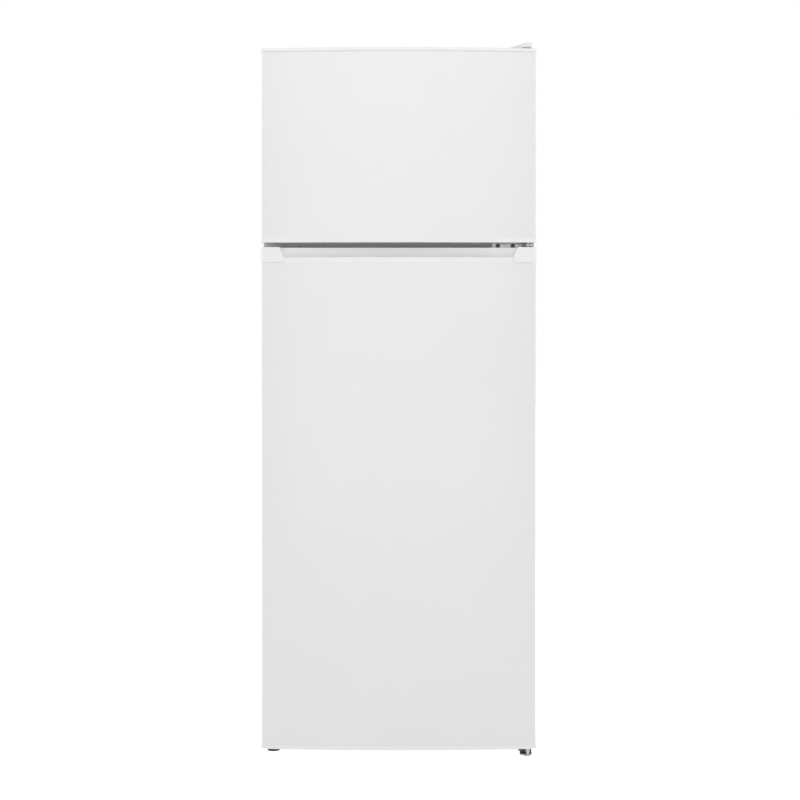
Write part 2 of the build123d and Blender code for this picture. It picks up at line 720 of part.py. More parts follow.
wire_count = int(2 * (condenser_x - condenser_pitch / 2) / wire_pitch)
wire_y = condenser_tube_radius - weld_depth + wire_radius
wire_length = condenser_top - condenser_bottom + 4 * condenser_tube_radius
with BuildPart() as condenser_wires:
    with Locations((0, tube_y, (condenser_top + condenser_bottom) / 2)):
        with GridLocations(wire_pitch, 2 * wire_y, wire_count, 2):
            Cylinder(wire_radius, wire_length)
save(condenser_wires, "condenser_wires")

with BuildPart() as condenser_brackets:
    for sign in (-1, 1):
        for z in (condenser_bottom, condenser_top):
            x = sign * (condenser_x - condenser_pitch)
            block((x - wire_pitch * 0.35, back_y, z - trim_height / 2),
                  (x + wire_pitch * 0.35, tube_y - condenser_tube_radius + weld_depth, z + trim_height / 2))
save(condenser_brackets, "condenser_brackets")

# ------------------------------------------------------------------- hinges
plate_z = freezer_door_top + plate_clearance
screw_y = (cabinet_y + middle_screw_pitch, cabinet_y + 2 * middle_screw_pitch)
screw_x = pin_x - middle_screw_inset


def plate_end(radius, low_z, high_z):
    """The rounded end of a hinge plate, round its pin."""
    rod(radius, (pin_x, pin_y, low_z), high_z - low_z)


top_side = cover_end - cover_wall - cover_clearance


with BuildPart() as top_hinge_bracket:
    rear = screw_y[1] + middle_screw_inset
    side = ((pin_y, plate_z), (cabinet_y - hinge_plate, plate_z), (cabinet_y, cabinet_top),
            (rear, cabinet_top), (rear, cabinet_top + hinge_plate),
            (cabinet_y + 1, cabinet_top + hinge_plate),
            (cabinet_y - hinge_plate + 1, plate_z + hinge_plate), (pin_y, plate_z + hinge_plate))
    prism_x(side, screw_x - top_side, pin_x + top_side)
    plate_end(top_side, plate_z, plate_z + hinge_plate)
    rod(pin_radius, (pin_x, pin_y, freezer_door_top - pin_length), pin_length + plate_clearance)
    for y in screw_y:
        rod(screw_radius, (screw_x, y, cabinet_top), hinge_plate, mode=Mode.SUBTRACT)
save(top_hinge_bracket, "top_hinge_bracket")

# a moulded cover whose inner side slopes down to the top of the cabinet
cover_high = pin_x + cover_end
cover_low = cover_high - cover_width
cover_base = freezer_door_top + plate_clearance / 2
cover_front_y = pin_y - cover_front
cover_back_y = cover_front_y + cover_depth


def cover_shape(inset):
    """The cover's outline from the front, drawn back along Y."""
    low = cover_base - inset
    top = height - inset
    slope_low = cover_low + 3 * inset
    face = ((slope_low, low), (slope_low, cover_base + 1), (cover_low + cover_slope + inset, top),
            (cover_high - inset, top), (cover_high - inset, low))
    prism_y(face, cover_front_y + inset, cover_back_y - inset)


with BuildPart() as top_hinge_cover:
    cover_shape(0)
    block((cover_low, cabinet_y, cabinet_top), (cover_high, cover_back_y, cover_base))
    upper = top_hinge_cover.edges().group_by(Axis.Z)[-1]
    fillet(upper, cover_wall)
    with BuildPart(mode=Mode.PRIVATE) as cover_void:
        cover_shape(cover_wall)
        block((cover_low + 3 * cover_wall, cabinet_y, cabinet_top),
              (cover_high - cover_wall, cover_back_y - cover_wall, cover_base))
    add(cover_void.part, mode=Mode.SUBTRACT)
save(top_hinge_cover, "top_hinge_cover")

gap_middle = freezer_door_bottom - door_gap / 2
middle_screws = [pin_x - middle_hinge_reach + middle_screw_inset + n * middle_screw_pitch for n in (0, 1)]
flange_y = cabinet_y - hinge_plate
with BuildPart() as middle_hinge_bracket:
    block((pin_x - middle_hinge_reach, flange_y, gap_middle - middle_hinge_height / 2),
          (pin_x + pin_side, cabinet_y, gap_middle + middle_hinge_height / 2))
    for x in middle_screws:
        rod(screw_radius, (x, flange_y, gap_middle), hinge_plate, Axis.Y, Mode.SUBTRACT)
    low = gap_middle - hinge_plate / 2
    block((pin_x - pin_side, pin_y, low), (pin_x + pin_side, flange_y, low + hinge_plate))
    plate_end(pin_side, low, low + hinge_plate)
    pin_low = fridge_door_top - pin_length
    rod(pin_radius, (pin_x, pin_y, pin_low), 2 * pin_length + door_gap)
save(middle_hinge_bracket, "middle_hinge_bracket")

bracket_low = foot_x - foot_radius
bracket_high = pin_x + pin_side
shoulder_z = fridge_door_bottom - plate_clearance
with BuildPart() as bottom_hinge_bracket:
    # a flange behind the door, and a tab under the base rail that the foot's stud passes through
    inner_y = cabinet_y - hinge_plate
    side = ((inner_y, nose_low), (cabinet_y, nose_low), (cabinet_y, skirt_height - hinge_plate),
            (rail_back, skirt_height - hinge_plate), (rail_back, skirt_height), (inner_y, skirt_height))
    prism_x(side, bracket_low, bracket_high)
    rod(foot_radius * 0.6, (foot_x, foot_y, 0), skirt_height, mode=Mode.SUBTRACT)
    # the nose that carries the lower door's pin
    with BuildSketch(Plane.XY.offset(nose_low)) as nose:
        with Locations((pin_x, pin_y)):
            Circle(nose_radius)
        with Locations(((bracket_low + bracket_high) / 2, inner_y)):
            Rectangle(bracket_high - bracket_low, 2 * nose_shoulder)
        make_hull()
    extrude(nose.sketch, amount=hinge_plate)
    block((bracket_low, cabinet_y, 0), (bracket_high, cabinet_y + nose_shoulder, 2 * nose_low),
          Mode.SUBTRACT)
    with Locations((pin_x, pin_y, nose_low + hinge_plate)):
        Cone(nose_radius / 2, nose_radius, shoulder_z - nose_low - hinge_plate,
             align=(Align.CENTER, Align.CENTER, Align.MIN))
    rod(pin_radius, (pin_x, pin_y, nose_low), fridge_door_bottom + pin_length - nose_low)
save(bottom_hinge_bracket, "bottom_hinge_bracket")


def screw(start, along):
    """A pan-head screw: start is under its head, and along points out of the hole."""
    shank = Plane(origin=start, z_dir=along)
    with BuildSketch(shank) as shank_section:
        Circle(screw_radius - bore_clearance)
    extrude(shank_section.sketch, amount=-screw_length)
    with BuildSketch(shank) as head_section:
        Circle(screw_head_radius)
        RectangleRounded(3.6, 1.2, 0.3, mode=Mode.SUBTRACT)
        RectangleRounded(1.2, 3.6, 0.3, mode=Mode.SUBTRACT)
    extrude(head_section.sketch, amount=screw_head, taper=12)


with BuildPart() as hinge_screws:
    for y in screw_y:
        screw((screw_x, y, cabinet_top + hinge_plate), (0, 0, 1))
    for x in middle_screws:
        screw((x, flange_y, gap_middle), (0, -1, 0))
save(hinge_screws, "hinge_screws")

with BuildPart() as hinge_hole_plugs:
    for x in middle_screws:
        for radius, y0, y1 in ((plug_radius, cabinet_y - plastic / 2, cabinet_y),
                               (screw_radius - bore_clearance, cabinet_y, cabinet_y + rail_lip)):
            rod(radius, (-x, y0, gap_middle), y1 - y0, Axis.Y)
    for y in screw_y:
        rod(plug_radius, (-screw_x, y, cabinet_top), plastic / 2)
        rod(screw_radius - bore_clearance, (-screw_x, y, cabinet_top - screw_length), screw_length)
save(hinge_hole_plugs, "hinge_hole_plugs")


# ---------------------------------------------------------- feet and rollers
def levelling_foot(sign):
    """A ribbed disc on a threaded stud that screws into the base rail."""
    with BuildPart() as foot:
        rod(foot_radius, (sign * foot_x, foot_y, 0), foot_height)
        chamfer(foot.edges().group_by(Axis.Z)[-1], foot_height / 6)
        fillet(foot.edges().group_by(Axis.Z)[0], 1.0)
        rod(stud_radius, (sign * foot_x, foot_y, foot_height), stud_top - foot_height)
        with Locations((sign * foot_x, foot_y, foot_height / 2)):
            with PolarLocations(foot_radius, 12):
                Cylinder(1.2, foot_height, mode=Mode.SUBTRACT)
    return foot


save(levelling_foot(-1), "front_left_foot")
save(levelling_foot(1), "front_right_foot")


def roller(sign):
    with BuildPart() as wheel:
        start = (sign * roller_x - roller_width / 2, roller_y, roller_radius)
        rod(roller_radius, start, roller_width, Axis.X)
        fillet(wheel.edges().filter_by(GeomType.CIRCLE), 1.5)
        rod(axle_radius + pin_clearance, start, roller_width, Axis.X, Mode.SUBTRACT)
    return wheel


save(roller(-1), "rear_left_roller")
save(roller(1), "rear_right_roller")

with BuildPart() as roller_forks:
    for sign in (-1, 1):
        cheek = roller_width / 2 + fork_gap
        axle = (sign * roller_x - cheek - fork_sheet, roller_y, roller_radius)
        for x in (sign * roller_x - cheek - fork_sheet, sign * roller_x + cheek):
            low = (x, roller_y - roller_radius, roller_radius - 2 * axle_radius)
            block(low, (x + fork_sheet, roller_y + roller_radius, skirt_height + 2 * base_sheet))
        block((axle[0], roller_y - roller_radius, skirt_height + base_sheet),
              (sign * roller_x + cheek + fork_sheet, roller_y + roller_radius,
               skirt_height + 2 * base_sheet))
        rod(axle_radius, axle, 2 * (cheek + fork_sheet), Axis.X)
save(roller_forks, "roller_forks")

# -------------------------------------------------- fittings in the fridge
shelf_x = cavity_x - shelf_gap
shelf_front = cabinet_y + shelf_front_setback
shelf_back = fridge_back - shelf_back_gap
with BuildPart() as glass_shelves:
    for level in shelf_levels:
        block((-shelf_x, shelf_front, level), (shelf_x, shelf_back, level + glass))
save(glass_shelves, "glass_shelves")

with BuildPart() as shelf_trims:
    trim_low = -(trim_height - glass) / 2
    for level in shelf_levels:
        inner_x = cavity_x - ledge - shelf_gap
        block((-inner_x, shelf_front - trim_depth / 2, level + trim_low),
              (inner_x, shelf_front + trim_depth / 2, level + trim_low + trim_height))
    fillet(shelf_trims.edges().filter_by(Axis.X), plastic)
    for level in shelf_levels:
        block((-shelf_x, shelf_front, level), (shelf_x, shelf_back, level + glass), Mode.SUBTRACT)
save(shelf_trims, "shelf_trims")

with BuildPart() as crisper_cover:
    block((-shelf_x, shelf_front, cover_level), (shelf_x, shelf_back, cover_level + glass))
save(crisper_cover, "crisper_cover")

drawer_x = cavity_x - drawer_clearance
drawer_front = cabinet_y + drawer_front_setback
drawer_low = fridge_low + drawer_lift
drawer_top = cover_level - ledge_height - drawer_clearance
drawer_back = fridge_back - drawer_clearance


def drawer_side(inset):
    """The drawer's stepped outline from the side, which clears the machine bay."""
    low = drawer_low + inset
    step_low = step_z + drawer_clearance + inset
    front = drawer_front + inset
    back = drawer_back - inset
    step_back = step_y - drawer_clearance - inset
    top = drawer_top + (inset and drawer_wall)
    return ((front, low), (step_back, low), (step_back, step_low), (back, step_low),
            (back, top), (front, top))


with BuildPart() as crisper_drawer:
    prism_x(drawer_side(0), -drawer_x, drawer_x)
    fillet(crisper_drawer.edges().filter_by(Axis.Z), corner_radius)
    prism_x(drawer_side(drawer_wall), -drawer_x + drawer_wall, drawer_x - drawer_wall, Mode.SUBTRACT)
    lip_x = drawer_x / 2
    block((-lip_x, drawer_front - drawer_lip, drawer_top - drawer_wall),
          (lip_x, drawer_front, drawer_top))
    block((-lip_x, drawer_front - drawer_lip, drawer_top - trim_height),
          (lip_x, drawer_front - drawer_lip + drawer_wall, drawer_top))
save(crisper_drawer, "crisper_drawer")

# control housing under the ceiling, with the lamp, thermostat and door switch
housing_x = housing_width / 2
housing_front = cabinet_y + housing_setback
housing_back = housing_front + housing_depth
housing_low = fridge_high - housing_height
knob_x = -housing_x / 2
knob_z = fridge_high - housing_height / 2
plunger_x = housing_x * 0.8
plunger_z = fridge_high - dyke_clearance - dyke_width / 2
lamp_low_x = -housing_x * 0.1
lamp_high_x = housing_x * 0.65
lamp_margin = housing_depth / 6
with BuildPart() as control_housing:
    block((-housing_x, housing_front, housing_low), (housing_x, housing_back, fridge_high))
    fillet(control_housing.edges().filter_by(Axis.Z), corner_radius)
    fillet(control_housing.edges().group_by(Axis.Z)[0], plastic)
    block((-housing_x + 3 * housing_wall, housing_front + housing_wall, housing_low + housing_wall),
          (housing_x - 3 * housing_wall, housing_back - housing_wall, fridge_high), Mode.SUBTRACT)
    rod(shaft_radius + bore_clearance, (knob_x, housing_front - 1, knob_z), 3 * housing_wall, Axis.Y,
        Mode.SUBTRACT)
    rod(plunger_radius + pin_clearance, (plunger_x, housing_front - 1, plunger_z), 3 * housing_wall,
        Axis.Y, Mode.SUBTRACT)
    block((lamp_low_x, housing_front + lamp_margin, housing_low),
          (lamp_high_x, housing_back - lamp_margin, housing_low + housing_wall), Mode.SUBTRACT)
save(control_housing, "control_housing")

with BuildPart() as lamp_cover:
    block((lamp_low_x, housing_front + lamp_margin, housing_low - 2 * housing_wall),
          (lamp_high_x, housing_back - lamp_margin, housing_low + housing_wall))
    fillet(lamp_cover.edges().group_by(Axis.Z)[0], housing_wall)
    block((lamp_low_x + housing_wall, housing_front + lamp_margin + housing_wall,
           housing_low - housing_wall),
          (lamp_high_x - housing_wall, housing_back - lamp_margin - housing_wall,
           housing_low + housing_wall), Mode.SUBTRACT)
save(lamp_cover, "lamp_cover")

body_y = housing_front + housing_wall
with BuildPart() as thermostat:
    reach = knob_radius * 0.9
    block((knob_x - reach, body_y, knob_z - reach), (knob_x + reach, body_y + 2 * knob_radius, knob_z + reach))
    fillet(thermostat.edges().filter_by(Axis.Y), plastic)
    shaft = knob_depth + housing_wall - plastic
    rod(shaft_radius, (knob_x, body_y - shaft, knob_z), shaft, Axis.Y)
save(thermostat, "thermostat")

knob_back = housing_front - bore_clearance
with BuildPart() as thermostat_knob:
    rod(knob_radius, (knob_x, knob_back - knob_depth, knob_z), knob_depth, Axis.Y)
    front_rim = thermostat_knob.edges().group_by(Axis.Y)[0]
    fillet(front_rim, plastic)
    with Locations((knob_x, knob_back - knob_depth / 2, knob_z)):
        with Locations(Rotation(90, 0, 0)):
            with PolarLocations(knob_radius, 18):
                Cylinder(1.3, knob_depth, mode=Mode.SUBTRACT)
    bore = knob_depth - 2 * plastic + bore_clearance
    rod(shaft_radius + pin_clearance, (knob_x, knob_back - knob_depth + plastic, knob_z), knob_depth,
        Axis.Y, Mode.SUBTRACT)
save(thermostat_knob, "thermostat_knob")

plunger_front = door_back_y + fridge_dyke_depth + plunger_gap
with BuildPart() as door_switch_plunger:
    plunger_length = body_y + 4 * housing_wall - plunger_front
    rod(plunger_radius, (plunger_x, plunger_front, plunger_z), plunger_length, Axis.Y)
    fillet(door_switch_plunger.edges().group_by(Axis.Y)[0], plastic)
save(door_switch_plunger, "door_switch_plunger")

with BuildPart() as freezer_shelf:
    level = freezer_low + freezer_shelf_level
    block((-shelf_x, shelf_front, level),
          (shelf_x, freezer_back - shelf_back_gap, level + freezer_shelf_thickness))
    with Locations((0, (shelf_front + freezer_back) / 2, level + freezer_shelf_thickness / 2)):
        with GridLocations(wire_pitch * 1.8, 1, 21, 1):
            Box(wire_pitch, (freezer_back - shelf_front) * 0.8, freezer_shelf_thickness,
                mode=Mode.SUBTRACT)
save(freezer_shelf, "freezer_shelf")

# ------------------------------------------------------------ cabinet foam
with BuildPart() as cabinet_foam:
    riser_y = bay_y - sheet
    foam_side = ((pan_front, pan_height + sheet), (riser_y, pan_height + sheet),
                 (riser_y, bay_height + sheet), (rear_y, bay_height + sheet), (rear_y, panel_top),
                 (cabinet_y + sheet, panel_top), (cabinet_y + sheet, pan_height + sheet))
    prism_x(foam_side, -inner_half, inner_half)
    for piece in (freezer_outer, fridge_outer, centre_rail, front_base_rail, freezer_liner,
                  fridge_liner, freezer_evaporator, fridge_evaporator, hinge_screws,
                  hinge_hole_plugs, top_panel):
        add(piece.part, mode=Mode.SUBTRACT)
    for sign in (-1, 1):
        add(side_panel(sign).part, mode=Mode.SUBTRACT)
save(cabinet_foam, "cabinet_foam")
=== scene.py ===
# %% [markdown]
# # A top freezer refrigerator
# The engineering model arrives as a fixed frame: every piece that moves, fits or carries load is in
# it already, at its real size. This script gives those pieces their finishes and models again the
# ones whose looks need more than the engineering shape has. Everything is in metres.

# %% Load the frame
import json
import math

import bmesh
import bpy
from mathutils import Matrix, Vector


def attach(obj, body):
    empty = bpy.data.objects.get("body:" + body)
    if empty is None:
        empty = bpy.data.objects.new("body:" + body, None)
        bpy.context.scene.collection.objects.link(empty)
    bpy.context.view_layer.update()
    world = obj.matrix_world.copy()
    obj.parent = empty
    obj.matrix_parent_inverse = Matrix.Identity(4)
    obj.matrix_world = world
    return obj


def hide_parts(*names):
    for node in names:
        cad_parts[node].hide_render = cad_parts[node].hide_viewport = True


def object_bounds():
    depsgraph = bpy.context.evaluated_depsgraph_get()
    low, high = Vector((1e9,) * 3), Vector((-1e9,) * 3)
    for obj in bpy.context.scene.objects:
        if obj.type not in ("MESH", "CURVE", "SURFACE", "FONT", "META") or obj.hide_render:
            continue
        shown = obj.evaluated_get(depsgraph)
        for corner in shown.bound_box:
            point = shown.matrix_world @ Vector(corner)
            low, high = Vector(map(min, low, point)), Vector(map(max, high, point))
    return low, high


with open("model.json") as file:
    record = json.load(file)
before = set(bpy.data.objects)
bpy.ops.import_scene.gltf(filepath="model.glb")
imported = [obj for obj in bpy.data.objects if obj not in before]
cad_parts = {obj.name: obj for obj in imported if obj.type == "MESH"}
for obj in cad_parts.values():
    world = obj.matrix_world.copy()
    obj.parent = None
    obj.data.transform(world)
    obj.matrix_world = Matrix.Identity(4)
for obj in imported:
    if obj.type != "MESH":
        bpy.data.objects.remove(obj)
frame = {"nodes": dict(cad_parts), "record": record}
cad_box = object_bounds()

scene = bpy.context.scene

# %% [markdown]
# ## The camera
# A catalogue picture of a tall appliance is taken from far away with a long lens, level, so that
# the sides stay parallel. The lens is shifted down a little instead of tilting the camera, because
# a tilt would make the sides converge.

# %% Camera
LENS = 0.1016  # focal length
SENSOR = 0.036
CAMERA_DISTANCE = 4.5  # from the front edges of the doors
CAMERA_HEIGHT = 0.814
CAMERA_SIDE = 0.0024
LENS_SHIFT = -0.06
DOOR_CROWN = 0.020  # the middle of a door stands this far in front of its edges

door_front = cad_box[0][1] + DOOR_CROWN
camera_data = bpy.data.cameras.new("catalogue_camera")
camera_data.lens = LENS * 1000
camera_data.sensor_width = SENSOR * 1000
camera_data.shift_y = LENS_SHIFT
camera = bpy.data.objects.new("catalogue_camera", camera_data)
scene.collection.objects.link(camera)
camera.location = (CAMERA_SIDE, door_front - CAMERA_DISTANCE, CAMERA_HEIGHT)
camera.rotation_euler = (math.radians(90), 0, 0)
scene.camera = camera
print("camera at", tuple(round(v, 3) for v in camera.location))

# %% [markdown]
# ## Materials
# Colours are written as the hex values that a paint chart gives, and one function turns them into
# the linear numbers that the shader works in. One more function adds a node, sets it and links it.


# %% Colour and node helpers
def colour(hex_text):
    """Linear red, green, blue and alpha of an sRGB hex colour."""
    parts = [int(hex_text[i:i + 2], 16) / 255 for i in (1, 3, 5)]
    linear = [p / 12.92 if p <= 0.04045 else ((p + 0.055) / 1.055) ** 2.4 for p in parts]
    return (*linear, 1.0)


def add_node(tree, kind, links=(), **settings):
    """Adds a node, sets its sockets and properties by name, and links its inputs."""
    node = tree.nodes.new(kind)
    for name, value in settings.items():
        if hasattr(node, name):
            setattr(node, name, value)
        else:
            node.inputs[name.title()].default_value = value
    for name, source in links:
        tree.links.new(source, node.inputs[name])
    return node


def start_material(name, hex_text, roughness):
    """A material with a Principled shader, and Object coordinates for its patterns."""
    material = bpy.data.materials.new(name)
    material.use_nodes = True
    tree = material.node_tree
    shader = tree.nodes["Principled BSDF"]
    shader.inputs["Base Color"].default_value = colour(hex_text)
    shader.inputs["Roughness"].default_value = roughness
    place = add_node(tree, "ShaderNodeTexCoord").outputs["Object"]
    return material, tree, shader, place


def per_metre(millimetres):
    """The texture scale that repeats a feature of this size."""
    return 1000.0 / millimetres


def soft_bump(tree, shader, height, strength, distance):
    """Turns a height pattern into bump on the shader."""
    bump = add_node(tree, "ShaderNodeBump", [("Height", height)])
    bump.inputs["Strength"].default_value = strength
    bump.inputs["Distance"].default_value = distance
    tree.links.new(bump.outputs["Normal"], shader.inputs["Normal"])


def spread(tree, value, low_value, high_value):
    """Spreads a 0 to 1 pattern between two values."""
    ranged = add_node(tree, "ShaderNodeMapRange", [("Value", value)])
    ranged.inputs["To Min"].default_value = low_value
    ranged.inputs["To Max"].default_value = high_value
    return ranged.outputs["Result"]


def two_tones(tree, shader, value, hex_a, hex_b):
    """Mixes two colours by a pattern into the base colour."""
    mix = add_node(tree, "ShaderNodeMix", data_type="RGBA")
    factor, tone_a, tone_b = (mix.inputs[i] for i in (0, 6, 7))
    tree.links.new(value, factor)
    tone_a.default_value = colour(hex_a)
    tone_b.default_value = colour(hex_b)
    tree.links.new(mix.outputs[2], shader.inputs["Base Color"])


print("helpers ready")

# %% [markdown]
# ### Painted and coated steel
# The doors are pre-coated steel sheet: a glossy white paint over zinc, with the fine "orange peel"
# that roller coating leaves. Close up it breaks the reflections; from a distance it only softens
# them. The sides and the top are the cheaper textured sheet, with a coarser leather-like grain that
# hides fingerprints.


# %% Steel finishes
# Behind this line the bottom bracket's flange is painted darker, a painted shadow from the door above it.
PAINTED_SHADE_EDGE_Y = -0.2225  # the bottom bracket is bright in front of this line


def pre_coated_steel():
    """White roller-coated sheet: gloss over a fine peel, with a slow drift in tone."""
    material, tree, shader, place = start_material("pre_coated_steel_gloss", "#b6b7b6", 0.34)
    shader.inputs["Coat Weight"].default_value = 0.25
    shader.inputs["Coat Roughness"].default_value = 0.12
    peel = add_node(tree, "ShaderNodeTexNoise", [("Vector", place)],
                    scale=per_metre(2.2), detail=2.0, roughness=0.45)
    soft_bump(tree, shader, peel.outputs["Fac"], 0.10, 0.0004)
    cloud = add_node(tree, "ShaderNodeTexNoise", [("Vector", place)], scale=per_metre(160.0), detail=3.0)
    tree.links.new(spread(tree, cloud.outputs["Fac"], 0.30, 0.38), shader.inputs["Roughness"])
    two_tones(tree, shader, cloud.outputs["Fac"], "#b7b8b7", "#b5b6b5")
    return material


def textured_steel():
    """White sheet embossed like leather: rounded cells with a finer grain on them."""
    material, tree, shader, place = start_material("textured_coated_steel", "#b4b5b4", 0.46)
    grain = add_node(tree, "ShaderNodeTexVoronoi", [("Vector", place)], scale=per_metre(2.6))
    fine = add_node(tree, "ShaderNodeTexNoise", [("Vector", place)], scale=per_metre(1.1), detail=3.0)
    both = add_node(tree, "ShaderNodeMath", operation="ADD")
    tree.links.new(grain.outputs["Distance"], both.inputs[0])
    tree.links.new(fine.outputs["Fac"], both.inputs[1])
    soft_bump(tree, shader, both.outputs[0], 0.22, 0.0005)
    two_tones(tree, shader, fine.outputs["Fac"], "#b5b6b5", "#b3b4b3")
    tree.links.new(spread(tree, fine.outputs["Fac"], 0.40, 0.52), shader.inputs["Roughness"])
    return material


def galvanised_steel(name, hex_a, hex_b, spangle_mm, low_roughness, high_roughness):
    """Zinc-coated sheet: crystals of slightly different grey, each with its own gloss."""
    material, tree, shader, place = start_material(name, hex_a, low_roughness)
    shader.inputs["Metallic"].default_value = 1.0
    crystals = add_node(tree, "ShaderNodeTexVoronoi", [("Vector", place)], scale=per_metre(spangle_mm))
    grey = add_node(tree, "ShaderNodeSeparateColor", [("Color", crystals.outputs["Color"])])
    two_tones(tree, shader, grey.outputs["Red"], hex_a, hex_b)
    tree.links.new(spread(tree, grey.outputs["Green"], low_roughness, high_roughness),
                   shader.inputs["Roughness"])
    rolled = add_node(tree, "ShaderNodeTexNoise", [("Vector", place)], scale=per_metre(1.6), detail=4.0)
    soft_bump(tree, shader, rolled.outputs["Fac"], 0.08, 0.0003)
    return material


def black_enamel(name, hex_a, hex_b, roughness, peel_mm):
    """Dipped or powdered black paint on steel, a little dusty where it is rough."""
    material, tree, shader, place = start_material(name, hex_a, roughness)
    shader.inputs["Coat Weight"].default_value = 0.15
    dust = add_node(tree, "ShaderNodeTexNoise", [("Vector", place)], scale=per_metre(35.0), detail=5.0)
    two_tones(tree, shader, dust.outputs["Fac"], hex_a, hex_b)
    tree.links.new(spread(tree, dust.outputs["Fac"], roughness - 0.08, roughness + 0.12),
                   shader.inputs["Roughness"])
    peel = add_node(tree, "ShaderNodeTexNoise", [("Vector", place)], scale=per_metre(peel_mm), detail=3.0)
    soft_bump(tree, shader, peel.outputs["Fac"], 0.18, 0.0004)
    return material


def bracket_with_painted_shade(name, dark, light, edge_y):
    """Zinc steel with painted shade: darker behind edge_y, a painted shadow where the flange stands under
    the door, and the pale boss that the pin stands in ahead of it.
    """
    material, tree, shader, place = start_material(name, dark, 0.42)
    shader.inputs["Metallic"].default_value = 1.0
    along = add_node(tree, "ShaderNodeSeparateXYZ", [("Vector", place)])
    ahead = add_node(tree, "ShaderNodeMath", [("Value", along.outputs["Y"])], operation="LESS_THAN")
    ahead.inputs[1].default_value = edge_y
    # Painted shade: the flange behind edge_y takes the dark tone, and the boss ahead of it keeps the pale
    # one.
    two_tones(tree, shader, ahead.outputs["Value"], dark, light)
    mottle = add_node(tree, "ShaderNodeTexNoise", [("Vector", place)], scale=per_metre(4.0), detail=3.0)
    tree.links.new(spread(tree, mottle.outputs["Fac"], 0.34, 0.52), shader.inputs["Roughness"])
    soft_bump(tree, shader, mottle.outputs["Fac"], 0.10, 0.0003)
    return material


# Door paint: an even white with a soft sheen, whose highlights are broken by the coating's grain.
DOOR_STEEL = pre_coated_steel()
# Sides and top: the same white, flatter, with a visible leather grain.
SIDE_STEEL = textured_steel()
# The bare back: faint crystals that give a dull grey its life.
BACK_STEEL = galvanised_steel("galvanised_back_sheet", "#a4a8a9", "#9b9fa0", 6.0, 0.42, 0.52)
# Hinge plates: a brighter, smoother grey in the dark gap between the doors.
ZINC_STEEL = galvanised_steel("zinc_plated_bracket", "#a6a9a6", "#969996", 3.0, 0.30, 0.44)
# Screw heads: small dark dots on the bright plates.
SCREW_STEEL = black_enamel("blackened_screw_steel", "#2c2e2c", "#393b39", 0.34, 0.8)
# Bottom bracket: a pale boss, and behind it a flange darkened with painted shade where the door shadows
# it.
BRACKET_STEEL_PAINTED_SHADE = bracket_with_painted_shade("bottom_bracket_painted_shade", "#555855", "#a4a6a4", PAINTED_SHADE_EDGE_Y)
# Condenser: satin black lines against the pale back.
CONDENSER_BLACK = black_enamel("black_dipped_condenser", "#161616", "#232323", 0.42, 1.2)
# Compressor: a glossier black with slow ripples, so that its dome catches long highlights.
COMPRESSOR_BLACK = black_enamel("black_compressor_enamel", "#131313", "#1f1f1e", 0.30, 3.0)
print("steel finishes:", DOOR_STEEL.name, SIDE_STEEL.name, BACK_STEEL.name)

# %% [markdown]
# ### Plastics, rubber and glass
# End caps and covers are moulded ABS with a fine spark-eroded texture, which makes them a little
# softer than the paint beside them. The liners are vacuum-formed high-impact polystyrene, glossier
# and very slightly blue. Bins and drawer are clear polystyrene, and the shelves are tempered glass,
# whose green shows where the eye looks along the sheet.


# %% Plastic, rubber and glass finishes
def moulded_plastic(name, hex_a, hex_b, roughness, grain_mm, depth):
    """An opaque moulding: faint colour drift, and a texture from the mould."""
    material, tree, shader, place = start_material(name, hex_a, roughness)
    shader.inputs["IOR"].default_value = 1.53
    drift = add_node(tree, "ShaderNodeTexNoise", [("Vector", place)], scale=per_metre(90.0), detail=2.0)
    two_tones(tree, shader, drift.outputs["Fac"], hex_a, hex_b)
    tree.links.new(spread(tree, drift.outputs["Fac"], roughness - 0.04, roughness + 0.06),
                   shader.inputs["Roughness"])
    grain = add_node(tree, "ShaderNodeTexNoise", [("Vector", place)], scale=per_metre(grain_mm),
                     detail=3.0, roughness=0.6)
    soft_bump(tree, shader, grain.outputs["Fac"], 0.15, depth)
    return material


def clear_plastic(name, hex_text, roughness, frost_mm, ripple):
    """Clear polystyrene, with the faint flow marks that moulding leaves."""
    material, tree, shader, place = start_material(name, hex_text, roughness)
    shader.inputs["IOR"].default_value = 1.59
    shader.inputs["Transmission Weight"].default_value = 0.82
    flow = add_node(tree, "ShaderNodeTexNoise", [("Vector", place)], scale=per_metre(frost_mm), detail=2.0)
    tree.links.new(spread(tree, flow.outputs["Fac"], roughness * 0.6, roughness * 1.5),
                   shader.inputs["Roughness"])
    soft_bump(tree, shader, flow.outputs["Fac"], ripple, 0.0006)
    return material


def tempered_glass():
    """Clear float glass with a green tint and an almost flat surface."""
    material, tree, shader, place = start_material("tempered_shelf_glass", "#d9efe6", 0.03)
    shader.inputs["IOR"].default_value = 1.52
    shader.inputs["Transmission Weight"].default_value = 0.95
    ripple = add_node(tree, "ShaderNodeTexNoise", [("Vector", place)], scale=per_metre(60.0), detail=1.0)
    tree.links.new(spread(tree, ripple.outputs["Fac"], 0.02, 0.05), shader.inputs["Roughness"])
    soft_bump(tree, shader, ripple.outputs["Fac"], 0.05, 0.0006)
    return material


def rigid_foam():
    """Polyurethane foam: pale yellow, full of cells about a millimetre across."""
    material, tree, shader, place = start_material("polyurethane_foam", "#e8d9a8", 0.85)
    cells = add_node(tree, "ShaderNodeTexVoronoi", [("Vector", place)], scale=per_metre(1.2))
    soft_bump(tree, shader, cells.outputs["Distance"], 0.4, 0.0008)
    blotch = add_node(tree, "ShaderNodeTexNoise", [("Vector", place)], scale=per_metre(40.0), detail=4.0)
    two_tones(tree, shader, blotch.outputs["Fac"], "#ecdfb2", "#dcc98f")
    return material


# Caps and covers: white like the paint, but a touch duller, so that the joint between them shows.
CAP_ABS = moulded_plastic("white_abs_cap", "#bbbcbb", "#b9bab9", 0.38, 0.9, 0.0003)
